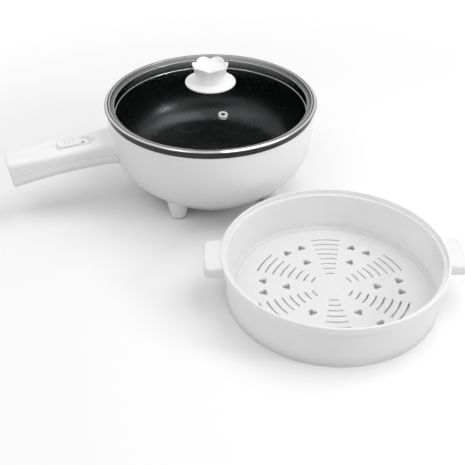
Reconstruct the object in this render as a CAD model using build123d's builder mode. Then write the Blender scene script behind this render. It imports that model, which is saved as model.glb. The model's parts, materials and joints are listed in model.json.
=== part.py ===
from build123d import *
import math
import os

# Electric frying pot with a glass lid, and its steamer basket standing beside it.
# Frame: millimetres, +Z up, the table at Z 0, the pot's axis on Z, the handle along -X.
# A reach is a distance from the pot's axis, so a point of the handle lies at X = -reach.

# Bowl of the housing
bowl_rim_r = 131.4
bowl_rim_z = 116.8
bowl_base_r = 83.0
bowl_base_z = 13.8
bowl_base_lean = 34.0
bowl_knee = (bowl_rim_r - 1.7, 45.2)
bowl_shoulder = (bowl_rim_r + 0.4, 68.6)
bowl_wall = 2.6
floor_ring_z = 18.0
floor_ring_bore_r = 62.0
fit_gap = 0.15

# Handle, its upper half moulded with the bowl and its lower half a cover
handle_root = bowl_rim_r - 3.4
handle_length = 134.0
handle_end = handle_root + handle_length
handle_middle = handle_root + handle_length / 2
handle_top_z = (96.4, 92.2, 88.0)
handle_bottom_z = (62.6, 59.0, 47.7)
handle_seam_z = (78.5, 77.6, 64.8)
handle_width = 43.4
handle_crown = 0.8
handle_top_round = 7.4
handle_bottom_round = 11.0
handle_wall = 2.4
handle_station_pitch = 10.0
handle_station_count = 16
flare_side = 3.0
flare_top = 1.0
crease_round = 4.0
flare_length = 8.0
end_centre = (handle_end - 3.0, 69.0)
end_tilt = 8.0
end_wall = 3.0
end_round = 2.0
seam_gap = 0.25
seam_run_out = 25.0
cable_window = (22.0, 9.0)
cable_window_z = 70.0

# Slide switch on top of the handle
switch_reach = handle_root + 50.0
recess_length = 42.0
recess_width = 19.0
recess_depth = 3.0
recess_floor = 2.2
slider_length = 32.0
slider_width = 15.6
slider_proud = 1.0
slider_travel = 9.0
slider_end_gap = 0.5
slider_groove_pitch = 5.0
slider_groove_length = 10.0
stem_length = 8.0
stem_width = 3.4
stem_inset = 5.0
stem_depth = 5.0
slot_gap = 0.3
switch_body_size = (34.0, 13.0, 11.0)
terminal_size = (0.8, 4.8, 6.0)
terminal_xs = (-10.0, 10.0)

# Power inlet in the end of the handle
inlet_size = (28.0, 21.0)
inlet_depth = 22.0
inlet_set_back = 0.8
inlet_flange = (33.0, 25.0, 2.0)
inlet_recess = (24.6, 16.8)
inlet_recess_depth = 17.0
inlet_pitch = 14.0
inlet_earth_rise = 4.0
blade_width = 2.0
blade_height = 4.0
blade_start = 4.5
blade_tail = 29.0

# Base cover, feet and pads
cover_thickness = 2.0
cover_round = 1.2
cover_rib_height = 3.0
cover_rib_wall = 1.6
foot_circle_r = 87.0
foot_count = 4
foot_first_angle = 45.0
foot_r = 9.8
foot_top_r = 15.4
foot_lift = 0.8
foot_round = 3.0
pad_r = 6.3
pad_seat = 1.4
screw_r = 1.95
screw_hole_gap = 0.1
screw_head_r = 3.7
screw_head_height = 2.4
foot_screw_seat_z = 9.0
boss_wall = 2.5
boss_top_z = 30.0

# Inner pan and its seal
pan_mouth_r = bowl_rim_r - 8.4
pan_wall = 2.2
pan_floor_z = 41.8
pan_floor_r = 85.0
pan_knee_r = 106.0
pan_knee_z = 62.0
pan_wall_z = 92.0
pan_rim_r = bowl_rim_r - 0.6
pan_rim_z = 122.7
pan_rim_height = 5.3
pan_rim_round = 1.2
seal_leg = 5.0
seal_wall = 1.0

# Heating parts under the pan
plate_r = 78.0
plate_thickness = 7.5
element_ring_r = 58.0
element_r = 3.3
element_sink = 2.3
element_gap_angle = 28.0
element_pin_r = 1.5
element_pin_length = 8.0
shield_thickness = 0.8
shield_r = 77.0
shield_rim_r = 80.8
shield_rim_height = 6.0
post_r = 4.0
post_circle_r = 72.0
post_count = 3
thermostat_r = 8.0
thermostat_height = 6.0
strap_thickness = 0.8
strap_width = 8.0
strap_reach = 17.0
tab_reach = 15.0
tab_width = 5.0
clip_reach = 11.0
fuse_r = 2.0
fuse_length = 12.0
fuse_lead_r = 0.6
fuse_lead_reach = 10.0
fuse_place = (-28.0, -24.0)
plate_screw_depth = 5.0
wire_r = 1.1
wire_bend = 8.0
wire_end_gap = 0.05

# Lid
lid_r = pan_rim_r + 3.2
lid_bead_r = 0.9
lid_bead_lift = 1.6
lid_step_r = pan_rim_r - 0.2
lid_sheet = 0.6
lid_inner_r = lid_r - 6.6
lid_lip_gap = 0.6
lid_lip_depth = 12.5
lid_lip_bead = 0.8
lid_channel_r = lid_r - 3.8
lid_channel_z = 127.3
lid_inner_z = 127.1
lid_gasket = 0.6
glass_thickness = 3.0
glass_top_z = 147.6
glass_flange_r = lid_r - 7.2
glass_flange_z = 127.3
glass_inner_r = pan_mouth_r + 0.5
glass_edge_r = lid_r - 4.6
glass_edge_z = 126.4
vent_reach = 71.2
vent_angle = -93.4
vent_flange_r = 5.7
vent_bore_r = 2.5
vent_tube_r = 3.4
vent_plate = 0.7
vent_under = 3.5

# Knob
skirt_r = 31.5
skirt_z = 149.0
skirt_edge = 2.3
skirt_top_z = 152.6
skirt_seat_r = 22.0
skirt_seat_z = 147.15
knob_base_r = 17.0
knob_top_corner_r = 21.05
knob_top_petal_r = 22.64
knob_petal_z = 175.0
crown_arch_r = 17.3
knob_petals = 6
knob_first_angle = 14.5
knob_dish_r = 17.4
knob_dish_z = 169.8
knob_lip = 1.1
knob_screw_r = 2.4
knob_screw_head = (5.5, 2.6)
knob_bore_depth = 14.0
glass_hole_r = 4.0
washer_r = 9.0
washer_thickness = 1.2

# Steamer basket
steamer_distance = 269.0
steamer_angle = -75.3
steamer_turn = -15.5
basket_rim_r = 126.0
basket_rim_z = 58.5
basket_band = 8.0
basket_wall = 2.5
basket_wall_r = 121.5
basket_foot_r = 119.6
basket_foot_round = 4.0
basket_mouth_r = 123.5
basket_ledge_r = 119.0
basket_ledge_z = 53.0
basket_floor_z = 9.0
basket_groove_r = 110.0
basket_groove_depth = 0.8
slot_sectors = 6
slot_first_angle = 29.0
slot_rows = 8
slot_first_r = 23.6
slot_pitch = 9.2
slot_width = 2.3
slot_half_angle = 10.8
petal_rows = ((51.0, (0.0,)), (78.0, (-7.3, 7.3)))
petal_lobe_r = 2.7
petal_lobe_reach = 2.6
ear_reach = 145.0
ear_width = 54.0
ear_top_z = 56.8
ear_height = 12.0
ear_round = 7.0
ear_edge_round = 2.2
ear_wall = 2.4

os.makedirs("parts", exist_ok=True)


def parabola(reach, heights):
    """Height at a reach along the handle, from its heights at root, middle and end."""
    span = (handle_end - handle_root) / 2
    u = (reach - handle_middle) / span
    root, middle, end = heights
    return middle + u * (end - root) / 2 + u * u * ((root + end) / 2 - middle)


def flare(reach, amount):
    """How far the handle spreads as it runs into the bowl."""
    return amount * math.exp((handle_root - 2 - reach) / flare_length)


def handle_plane(reach):
    """Upright plane across the handle, its local Y being the height."""
    return Plane(origin=(-reach, 0, 0), x_dir=(0, -1, 0), z_dir=(-1, 0, 0))


def handle_block(inset):
    """Solid of the whole handle, with every face moved in by inset."""
    with BuildPart() as block:
        for station in range(handle_station_count):
            reach = handle_root + (station - 0.8) * handle_station_pitch
            half = handle_width / 2 + flare(reach, flare_side) - inset
            top = parabola(reach, handle_top_z) + flare(reach, flare_top) - inset
            bottom = parabola(reach, handle_bottom_z) + inset
            with BuildSketch(handle_plane(reach)) as section:
                with BuildLine():
                    ThreePointArc((-half, top - handle_crown), (0, top), (half, top - handle_crown))
                    Line((half, top - handle_crown), (half, bottom))
                    Line((half, bottom), (-half, bottom))
                    Line((-half, bottom), (-half, top - handle_crown))
                make_face()
                fillet(section.vertices().group_by(Axis.Y)[-1], handle_top_round - inset)
                fillet(section.vertices().group_by(Axis.Y)[0], handle_bottom_round - inset)
        loft()
    return block.part




def bowl_line(depth):
    """Control points of the bowl's side curve, moved in from the outside by depth."""
    lean = math.radians(bowl_base_lean)
    start = (bowl_base_r - depth * math.sin(lean), bowl_base_z + depth * math.cos(lean))
    knee = (bowl_knee[0] - 0.85 * depth, bowl_knee[1] + 0.55 * depth)
    shoulder = (bowl_shoulder[0] - depth, bowl_shoulder[1] + 0.1 * depth)
    return start, knee, shoulder, (bowl_rim_r - depth, bowl_rim_z)


def bowl_block(depth, top_z):
    """Solid of revolution inside the bowl's side curve, from its base up to top_z."""
    line = bowl_line(depth)
    (base_r, base_z), (rim_r, rim_z) = line[0], line[-1]
    with BuildPart() as block:
        with BuildSketch(Plane.XZ):
            with BuildLine():
                Bezier(*line)
                if top_z > rim_z:
                    Line((rim_r, rim_z), (rim_r, top_z))
                Polyline((rim_r, top_z), (0, top_z), (0, base_z), (base_r, base_z))
            make_face()
        revolve(axis=Axis.Z)
    return block.part


def below_seam(drop):
    """Everything under the handle's seam, with the seam lowered by drop."""
    first, last = handle_root - seam_run_out, handle_end + seam_run_out
    middle = (first + last) / 2
    start_z, middle_z, end_z = [parabola(r, handle_seam_z) - drop for r in (first, middle, last)]
    control_z = 2 * middle_z - (start_z + end_z) / 2
    with BuildPart() as block:
        with BuildSketch(Plane.XZ):
            with BuildLine():
                Bezier((-first, start_z), (-middle, control_z), (-last, end_z))
                Polyline((-last, end_z), (-last, 0), (-first, 0), (-first, start_z))
            make_face()
        extrude(amount=handle_width * 2, both=True)
    return block.part


def turned(profile):
    """Solid turned about Z from a list of (radius, height) corners."""
    with BuildPart() as shape:
        with BuildSketch(Plane.XZ):
            with BuildLine():
                Polyline(*profile, close=True)
            make_face()
        revolve(axis=Axis.Z)
    return shape.part


# Planes that the handle's fittings are placed on
tilt = math.radians(end_tilt)
inlet_plane = Plane(
    origin=(-end_centre[0], 0, end_centre[1]),
    x_dir=(0, 1, 0),
    z_dir=(math.cos(tilt), 0, math.sin(tilt)),
)
top_fall = (handle_top_z[0] - handle_top_z[2]) / (handle_end - handle_root)
switch_slope = math.atan(top_fall)
switch_plane = Plane(
    origin=(-switch_reach, 0, parabola(switch_reach, handle_top_z)),
    x_dir=(math.cos(switch_slope), 0, math.sin(switch_slope)),
    z_dir=(-math.sin(switch_slope), 0, math.cos(switch_slope)),
)
# Along the switch plane's X, which points to the pot, counted from the recess's middle
slider_x = -(recess_length - slider_length) / 2 + slider_end_gap
stem_x = slider_x + stem_inset
well_depth = recess_depth + recess_floor
slot_start = stem_x - stem_length / 2 - slot_gap
slot_end = stem_x + stem_length / 2 + slider_travel + slot_gap

# Heights under the pan, from the pan's floor down
pan_base_z = pan_floor_z - pan_wall
plate_base_z = pan_base_z - plate_thickness
element_z = plate_base_z + element_sink
floor_ring_top_z = floor_ring_z + bowl_wall
shield_top_z = floor_ring_top_z + shield_thickness
cover_base_z = bowl_base_z - cover_thickness
base_opening_r = bowl_line(bowl_wall)[0][0]

handle_outside = handle_block(0)
handle_inside = handle_block(handle_wall)
bowl_outside = bowl_block(0, bowl_rim_z)

# Handle with its end cut square to its own line and rounded
with BuildPart() as grip:
    add(handle_outside)
    split(bisect_by=inlet_plane, keep=Keep.TOP)
    fillet(grip.faces().sort_by(Axis.X)[0].edges(), end_round)

# Space inside the handle, from the bowl's outer face to the end wall
with BuildPart() as grip_space:
    add(handle_inside)
    split(bisect_by=inlet_plane.offset(end_wall), keep=Keep.TOP)
    add(bowl_outside, mode=Mode.SUBTRACT)

# Bosses that hang from the bowl's wall for the screws of the base cover
with BuildPart() as foot_bosses:
    with BuildSketch(Plane.XY):
        with PolarLocations(foot_circle_r, foot_count, foot_first_angle):
            Circle(screw_r + boss_wall)
    extrude(amount=boss_top_z)
    add(bowl_outside, mode=Mode.INTERSECT)

# Posts moulded under the handle's top for the screws of the handle cover, one between the bowl and
# the switch body and one between the switch body and the inlet's blades
switch_front = switch_reach - switch_body_size[0] / 2
switch_back = switch_reach + switch_body_size[0] / 2
front_screw = (bowl_rim_r + switch_front) / 2
blade_end = end_centre[0] - blade_tail * math.cos(tilt)
back_screw = switch_back + 0.4 * (blade_end - switch_back)
handle_screw_reaches = (front_screw, back_screw)
with BuildPart() as handle_bosses:
    for reach in handle_screw_reaches:
        with Locations((-reach, 0, parabola(reach, handle_seam_z))):
            Cylinder(
                screw_r + boss_wall,
                parabola(reach, handle_top_z) - handle_wall / 2 - parabola(reach, handle_seam_z),
                align=(Align.CENTER, Align.CENTER, Align.MIN),
            )

# Housing: the bowl and the upper half of the handle, one moulding
seam_top_z = parabola(handle_root, handle_seam_z)
with BuildPart() as housing:
    add(grip.part)
    add(below_seam(0), mode=Mode.SUBTRACT)
    add(bowl_outside)
    crease = [
        edge
        for edge in housing.edges()
        if -bowl_rim_r < edge.center().X < -handle_root + 1 and edge.center().Z > seam_top_z + crease_round / 2
    ]
    fillet(crease, crease_round)
    rim_edges = housing.edges().filter_by(GeomType.CIRCLE).sort_by(Axis.Z)[-1]
    fillet(rim_edges, 1.0)
    add(bowl_block(bowl_wall, bowl_rim_z + 1), mode=Mode.SUBTRACT)
    Cylinder(base_opening_r, 2 * (bowl_base_z + bowl_wall), mode=Mode.SUBTRACT)
    add(grip_space.part, mode=Mode.SUBTRACT)
    add(foot_bosses.part)
    add(handle_bosses.part)
    with BuildSketch(Plane.XZ):
        with BuildLine():
            ring_r = bowl_base_r + bowl_wall
            Polyline(
                (floor_ring_bore_r, floor_ring_z),
                (ring_r, floor_ring_z),
                (ring_r + bowl_wall, floor_ring_top_z),
                (floor_ring_bore_r, floor_ring_top_z),
                close=True,
            )
        make_face()
    revolve(axis=Axis.Z)
    with BuildSketch(switch_plane.offset(-well_depth)):
        SlotOverall(recess_length + 2 * handle_wall, recess_width + 2 * handle_wall)
    extrude(amount=well_depth - handle_wall / 2)
    with BuildSketch(switch_plane.offset(-recess_depth)):
        SlotOverall(recess_length, recess_width)
    extrude(amount=recess_depth + 2, mode=Mode.SUBTRACT)
    with BuildSketch(switch_plane.offset(-well_depth - 1)):
        with Locations(((slot_start + slot_end) / 2, 0)):
            Rectangle(slot_end - slot_start, stem_width + 2 * slot_gap)
    extrude(amount=recess_floor + 2, mode=Mode.SUBTRACT)
    with BuildSketch(inlet_plane.offset(-end_round)):
        RectangleRounded(inlet_size[0] + 2 * fit_gap, inlet_size[1] + 2 * fit_gap, 2.5)
    extrude(amount=end_wall + end_round + 1, mode=Mode.SUBTRACT)
    with Locations((-bowl_rim_r + 3, 0, cable_window_z)):
        Box(14, *cable_window, mode=Mode.SUBTRACT)
    for reach in handle_screw_reaches:
        with Locations((-reach, 0, parabola(reach, handle_seam_z) - 1)):
            Cylinder(
                screw_r + screw_hole_gap,
                parabola(reach, handle_top_z) - handle_wall - parabola(reach, handle_seam_z) - 1,
                align=(Align.CENTER, Align.CENTER, Align.MIN),
                mode=Mode.SUBTRACT,
            )
    with PolarLocations(foot_circle_r, foot_count, foot_first_angle):
        Cylinder(
            screw_r + screw_hole_gap,
            boss_top_z - boss_wall,
            align=(Align.CENTER, Align.CENTER, Align.MIN),
            mode=Mode.SUBTRACT,
        )
    with PolarLocations(post_circle_r, post_count):
        Cylinder(
            screw_r + screw_hole_gap,
            floor_ring_top_z + 5,
            align=(Align.CENTER, Align.CENTER, Align.MIN),
            mode=Mode.SUBTRACT,
        )
housing.part.label = "housing"
export_step(housing.part, "parts/housing.step")

# Lower half of the handle, with posts that meet the bosses of the upper half
with BuildPart() as handle_cover:
    add(grip.part)
    add(below_seam(seam_gap), mode=Mode.INTERSECT)
    add(grip_space.part, mode=Mode.SUBTRACT)
    for reach in handle_screw_reaches:
        foot_z = parabola(reach, handle_bottom_z) + handle_wall / 2
        with Locations((-reach, 0, foot_z)):
            Cylinder(
                screw_head_r + boss_wall,
                parabola(reach, handle_seam_z) - 3 * seam_gap - foot_z,
                align=(Align.CENTER, Align.CENTER, Align.MIN),
            )
    add(bowl_block(-fit_gap, bowl_rim_z), mode=Mode.SUBTRACT)
    for reach in handle_screw_reaches:
        with Locations((-reach, 0, 0)):
            Cylinder(
                screw_r + 2 * screw_hole_gap,
                bowl_rim_z,
                align=(Align.CENTER, Align.CENTER, Align.MIN),
                mode=Mode.SUBTRACT,
            )
            Cylinder(
                screw_head_r + 2 * fit_gap,
                parabola(reach, handle_seam_z) - boss_wall - 2,
                align=(Align.CENTER, Align.CENTER, Align.MIN),
                mode=Mode.SUBTRACT,
            )
    with BuildSketch(inlet_plane.offset(-end_round)):
        RectangleRounded(inlet_size[0] + 2 * fit_gap, inlet_size[1] + 2 * fit_gap, 2.5)
    extrude(amount=end_wall + end_round + 1, mode=Mode.SUBTRACT)
handle_cover.part.label = "handle_cover"
export_step(handle_cover.part, "parts/handle_cover.step")


def screw(head_z, tip_z):
    """Pan-head screw on Z, its head below head_z and its shank up to tip_z."""
    with BuildPart() as shape:
        with BuildSketch(Plane.XZ):
            with BuildLine():
                head_low = head_z - screw_head_height
                Polyline(
                    (0, head_low),
                    (screw_head_r - 1, head_low),
                    (screw_head_r, head_low + 1),
                    (screw_head_r, head_z),
                    (screw_r, head_z),
                    (screw_r, tip_z),
                    (0, tip_z),
                    close=True,
                )
            make_face()
        revolve(axis=Axis.Z)
    return shape.part


# Screws that hold the handle cover
with BuildPart() as handle_screws:
    for reach in handle_screw_reaches:
        seat_z = parabola(reach, handle_seam_z) - boss_wall - 2
        with Locations((-reach, 0, 0)):
            add(screw(seat_z, seat_z + 14))
handle_screws.part.label = "handle_screws"
export_step(handle_screws.part, "parts/handle_screws.step")

# One foot, a tapered stub with a screw well under its pad
with BuildPart() as foot:
    with BuildSketch(Plane.XZ) as foot_side:
        with BuildLine():
            Polyline(
                (0, foot_lift), (foot_r, foot_lift), (foot_top_r, boss_top_z), (0, boss_top_z), close=True
            )
        make_face()
        fillet(foot_side.vertices().sort_by(Axis.Y)[:2].sort_by(Axis.X)[-1], foot_round)
    revolve(axis=Axis.Z)

# Base cover: a plate with the four feet moulded on it, reaching up under the bowl
with BuildPart() as base_cover:
    with BuildSketch(Plane.XY.offset(cover_base_z)):
        Circle(bowl_base_r - cover_round / 2)
    extrude(amount=cover_thickness)
    fillet(base_cover.edges().filter_by(GeomType.CIRCLE).sort_by(Axis.Z)[0], cover_round)
    with BuildSketch(Plane.XY.offset(cover_base_z)):
        with PolarLocations(foot_circle_r / 2, foot_count, foot_first_angle):
            Rectangle(foot_circle_r, foot_r)
    extrude(amount=cover_thickness)
    rib_r = base_opening_r - fit_gap
    with PolarLocations(foot_circle_r, foot_count, foot_first_angle):
        add(foot.part)
    add(bowl_block(-fit_gap / 2, bowl_rim_z), mode=Mode.SUBTRACT)
    with BuildSketch(Plane.XY.offset(bowl_base_z - cover_thickness / 2)):
        Circle(rib_r)
        Circle(rib_r - cover_rib_wall, mode=Mode.SUBTRACT)
    extrude(amount=cover_thickness / 2 + cover_rib_height)
    with PolarLocations(foot_circle_r, foot_count, foot_first_angle):
        Cylinder(
            pad_r + fit_gap,
            foot_lift + pad_seat,
            align=(Align.CENTER, Align.CENTER, Align.MIN),
            mode=Mode.SUBTRACT,
        )
        Cylinder(
            screw_head_r + 2 * fit_gap,
            foot_screw_seat_z,
            align=(Align.CENTER, Align.CENTER, Align.MIN),
            mode=Mode.SUBTRACT,
        )
        Cylinder(
            screw_r + 2 * screw_hole_gap,
            boss_top_z,
            align=(Align.CENTER, Align.CENTER, Align.MIN),
            mode=Mode.SUBTRACT,
        )
base_cover.part.label = "base_cover"
export_step(base_cover.part, "parts/base_cover.step")

# Rubber pads that close the screw wells and stand on the table
with BuildPart() as foot_pads:
    with BuildSketch(Plane.XY):
        with PolarLocations(foot_circle_r, foot_count, foot_first_angle):
            Circle(pad_r)
    extrude(amount=foot_lift + pad_seat)
foot_pads.part.label = "foot_pads"
export_step(foot_pads.part, "parts/foot_pads.step")

with BuildPart() as base_screws:
    with PolarLocations(foot_circle_r, foot_count, foot_first_angle):
        add(screw(foot_screw_seat_z, boss_top_z - boss_wall - 2))
base_screws.part.label = "base_screws"
export_step(base_screws.part, "parts/base_screws.step")

# Power inlet: a moulded socket with three flat blades, held in the end wall
blade_places = (
    (-inlet_pitch / 2, -inlet_earth_rise / 2),
    (inlet_pitch / 2, -inlet_earth_rise / 2),
    (0, inlet_earth_rise / 2),
)
with BuildPart() as inlet_socket:
    with BuildSketch(inlet_plane.offset(inlet_set_back)):
        RectangleRounded(*inlet_size, 2.4)
    extrude(amount=inlet_depth - inlet_set_back)
    with BuildSketch(inlet_plane.offset(end_wall + fit_gap)):
        RectangleRounded(inlet_flange[0], inlet_flange[1], 3)
    extrude(amount=inlet_flange[2])
    with BuildSketch(inlet_plane) as mouth:
        Rectangle(*inlet_recess)
        chamfer(mouth.vertices().group_by(Axis.Y)[-1], 4)
        fillet(mouth.vertices().group_by(Axis.Y)[0], 1.5)
    extrude(amount=inlet_recess_depth, mode=Mode.SUBTRACT)
    with BuildSketch(inlet_plane):
        with Locations(*blade_places):
            Rectangle(blade_width + screw_hole_gap, blade_height + screw_hole_gap)
    extrude(amount=blade_tail, mode=Mode.SUBTRACT)
inlet_socket.part.label = "inlet_socket"
export_step(inlet_socket.part, "parts/inlet_socket.step")

with BuildPart() as inlet_blades:
    with BuildSketch(inlet_plane.offset(blade_start)):
        with Locations(*blade_places):
            Rectangle(blade_width, blade_height)
    extrude(amount=blade_tail - blade_start)
inlet_blades.part.label = "inlet_blades"
export_step(inlet_blades.part, "parts/inlet_blades.step")

# Slide switch: a fixed body under the recess, its terminals, and the sliding cap
with BuildPart() as switch_body:
    with BuildSketch(switch_plane.offset(-well_depth - switch_body_size[2])):
        Rectangle(switch_body_size[0], switch_body_size[1])
    extrude(amount=switch_body_size[2])
    fillet(switch_body.edges().filter_by(Axis(switch_plane.origin, switch_plane.z_dir)), 1.0)
    with BuildSketch(switch_plane.offset(-well_depth - stem_depth - 1)):
        with Locations(((slot_start + slot_end) / 2, 0)):
            Rectangle(slot_end - slot_start, stem_width + 2 * slot_gap)
    extrude(amount=stem_depth + 1, mode=Mode.SUBTRACT)
switch_body.part.label = "switch_body"
export_step(switch_body.part, "parts/switch_body.step")

terminal_z = -well_depth - switch_body_size[2] - terminal_size[2] / 2
with BuildPart() as switch_terminals:
    with BuildSketch(switch_plane.offset(-well_depth - switch_body_size[2] - terminal_size[2])):
        with Locations(*[(x, 0) for x in terminal_xs]):
            Rectangle(terminal_size[0], terminal_size[1])
    extrude(amount=terminal_size[2])
switch_terminals.part.label = "switch_terminals"
export_step(switch_terminals.part, "parts/switch_terminals.step")

with BuildPart() as switch_slider:
    with BuildSketch(switch_plane.offset(-recess_depth + fit_gap)):
        with Locations((slider_x, 0)):
            SlotOverall(slider_length, slider_width)
    extrude(amount=recess_depth - fit_gap + slider_proud)
    fillet(switch_slider.faces().sort_by(Axis.Z)[-1].edges(), 1.2)
    with BuildSketch(switch_plane.offset(slider_proud - 0.6)):
        with Locations((slider_x, 0)):
            with GridLocations(slider_groove_pitch, 0, 3, 1):
                Rectangle(1.0, slider_groove_length)
    extrude(amount=2, mode=Mode.SUBTRACT)
    with BuildSketch(switch_plane.offset(-well_depth - stem_depth)):
        with Locations((stem_x, 0)):
            Rectangle(stem_length, stem_width)
    extrude(amount=recess_floor + stem_depth + fit_gap)
switch_slider.part.label = "switch_slider"
export_step(switch_slider.part, "parts/switch_slider.step")


def pan_line(depth):
    """Control points of the pan's side curve, moved out from the inside by depth."""
    return (
        (pan_floor_r, pan_floor_z - depth),
        (pan_knee_r + 0.4 * depth, pan_floor_z - depth),
        (pan_mouth_r + depth, pan_knee_z - 0.4 * depth),
        (pan_mouth_r + depth, pan_wall_z),
    )


# Inner pan, with its rim turned down over the housing's edge
pan_skirt_z = pan_rim_z - pan_rim_height
with BuildPart() as inner_pan:
    with BuildSketch(Plane.XZ) as pan_side:
        with BuildLine():
            Polyline((0, pan_floor_z), (pan_floor_r, pan_floor_z))
            Bezier(*pan_line(0))
            Polyline(
                (pan_mouth_r, pan_wall_z),
                (pan_mouth_r, pan_rim_z),
                (pan_rim_r, pan_rim_z),
                (pan_rim_r, pan_skirt_z),
                (pan_rim_r - pan_wall, pan_skirt_z),
                (pan_rim_r - pan_wall, pan_rim_z - pan_wall),
                (pan_mouth_r + pan_wall, pan_rim_z - pan_wall),
                (pan_mouth_r + pan_wall, pan_wall_z),
            )
            Bezier(*reversed(pan_line(pan_wall)))
            Polyline((pan_floor_r, pan_base_z), (0, pan_base_z), (0, pan_floor_z))
        make_face()
        top_corners = pan_side.vertices().group_by(Axis.Y)[-1]
        fillet(top_corners.sort_by(Axis.X)[-1], pan_rim_round)
        fillet(top_corners.sort_by(Axis.X)[0], pan_rim_round / 2)
    revolve(axis=Axis.Z)
inner_pan.part.label = "inner_pan"
export_step(inner_pan.part, "parts/inner_pan.step")

# Silicone seal between the pan's rim and the housing's edge
seal_outer_r = pan_rim_r - fit_gap
seal_leg_r = bowl_rim_r - bowl_wall - fit_gap
rim_seal = turned([
    (seal_leg_r - seal_wall, pan_skirt_z),
    (seal_outer_r, pan_skirt_z),
    (seal_outer_r, bowl_rim_z),
    (seal_leg_r, bowl_rim_z),
    (seal_leg_r, bowl_rim_z - seal_leg),
    (seal_leg_r - seal_wall, bowl_rim_z - seal_leg),
])
rim_seal.label = "rim_seal"
export_step(rim_seal, "parts/rim_seal.step")

# Heating plate under the pan, with a groove for the element and holes for the screws
strap_screw_y = strap_reach - screw_head_r
clip_screw_y = clip_reach - screw_head_r
plate_screw_places = (
    (0, strap_screw_y),
    (0, -strap_screw_y),
    (fuse_place[0], fuse_place[1] + clip_screw_y),
    (fuse_place[0], fuse_place[1] - clip_screw_y),
)
groove_r = element_r + fit_gap / 3
with BuildPart() as heating_plate:
    with Locations((0, 0, plate_base_z)):
        Cylinder(plate_r, plate_thickness, align=(Align.CENTER, Align.CENTER, Align.MIN))
    fillet(heating_plate.edges().filter_by(GeomType.CIRCLE).sort_by(Axis.Z)[0], 1.0)
    with BuildSketch(Plane.XZ):
        with Locations((element_ring_r, element_z)):
            Circle(groove_r)
        with Locations((element_ring_r, element_z - element_r)):
            Rectangle(2 * groove_r, 2 * element_r)
    revolve(axis=Axis.Z, mode=Mode.SUBTRACT)
    with Locations(*[(x, y, plate_base_z) for x, y in plate_screw_places]):
        Cylinder(
            screw_r + screw_hole_gap,
            plate_screw_depth + 0.5,
            align=(Align.CENTER, Align.CENTER, Align.MIN),
            mode=Mode.SUBTRACT,
        )
    with PolarLocations(post_circle_r, post_count):
        with Locations((0, 0, plate_base_z)):
            Cylinder(
                screw_r + screw_hole_gap,
                plate_screw_depth + 0.5,
                align=(Align.CENTER, Align.CENTER, Align.MIN),
                mode=Mode.SUBTRACT,
            )
heating_plate.part.label = "heating_plate"
export_step(heating_plate.part, "parts/heating_plate.step")

# Sheathed element: an open ring pressed into the groove, with a pin at each end
with BuildPart() as open_ring:
    with BuildSketch(Plane.XZ):
        with Locations((element_ring_r, element_z)):
            Circle(element_r)
    revolve(axis=Axis.Z, revolution_arc=360 - element_gap_angle)
pin_angle = math.radians(element_gap_angle / 2) + element_pin_r / element_ring_r
pin_x = -element_ring_r * math.cos(pin_angle)
pin_y = element_ring_r * math.sin(pin_angle)
with BuildPart() as heating_element:
    add(open_ring.part, rotation=(0, 0, 180 + element_gap_angle / 2))
    with Locations((pin_x, pin_y, element_z), (pin_x, -pin_y, element_z)):
        Cylinder(element_pin_r, element_pin_length, align=(Align.CENTER, Align.CENTER, Align.MAX))
heating_element.part.label = "heating_element"
export_step(heating_element.part, "parts/heating_element.step")

# Heat shield, a pressed tray lying on the housing's floor ring
with BuildPart() as heat_shield:
    add(turned([
        (0, floor_ring_top_z),
        (shield_r, floor_ring_top_z),
        (shield_rim_r, floor_ring_top_z + shield_rim_height),
        (shield_rim_r - shield_thickness, floor_ring_top_z + shield_rim_height),
        (shield_r - shield_thickness / 2, shield_top_z),
        (0, shield_top_z),
    ]))
    with PolarLocations(post_circle_r, post_count):
        with Locations((0, 0, shield_top_z)):
            Cylinder(screw_r + screw_hole_gap, 4 * shield_thickness, mode=Mode.SUBTRACT)
heat_shield.part.label = "heat_shield"
export_step(heat_shield.part, "parts/heat_shield.step")

# Posts that carry the plate, and the screws that run through them from below
with BuildPart() as plate_posts:
    with BuildSketch(Plane.XY.offset(shield_top_z)):
        with PolarLocations(post_circle_r, post_count):
            Circle(post_r)
            Circle(screw_r + screw_hole_gap, mode=Mode.SUBTRACT)
    extrude(amount=plate_base_z - shield_top_z)
plate_posts.part.label = "plate_posts"
export_step(plate_posts.part, "parts/plate_posts.step")

with BuildPart() as post_screws:
    with PolarLocations(post_circle_r, post_count):
        add(screw(floor_ring_z, plate_base_z + plate_screw_depth))
post_screws.part.label = "post_screws"
export_step(post_screws.part, "parts/post_screws.step")


def strap(place, half_gap, drop, reach):
    """Hat-shaped strap under the plate: it drops round a part and is screwed at both feet."""
    top = plate_base_z
    outside = half_gap + strap_thickness
    half_profile = [
        (reach, top),
        (reach, top - strap_thickness),
        (outside, top - strap_thickness),
        (outside, top - drop - strap_thickness),
    ]
    inner_profile = [(half_gap, top - drop), (half_gap, top)]
    with BuildPart() as shape:
        with BuildSketch(Plane.YZ.offset(place[0])):
            with Locations((place[1], 0)):
                Polygon(
                    *half_profile,
                    *[(-y, z) for y, z in reversed(half_profile)],
                    *[(-y, z) for y, z in reversed(inner_profile)],
                    *inner_profile,
                    align=None,
                )
        extrude(amount=strap_width / 2, both=True)
        with Locations(
            (place[0], place[1] + reach - screw_head_r, top),
            (place[0], place[1] - reach + screw_head_r, top),
        ):
            Cylinder(screw_r + screw_hole_gap, 4 * strap_thickness, mode=Mode.SUBTRACT)
    return shape.part


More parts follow.
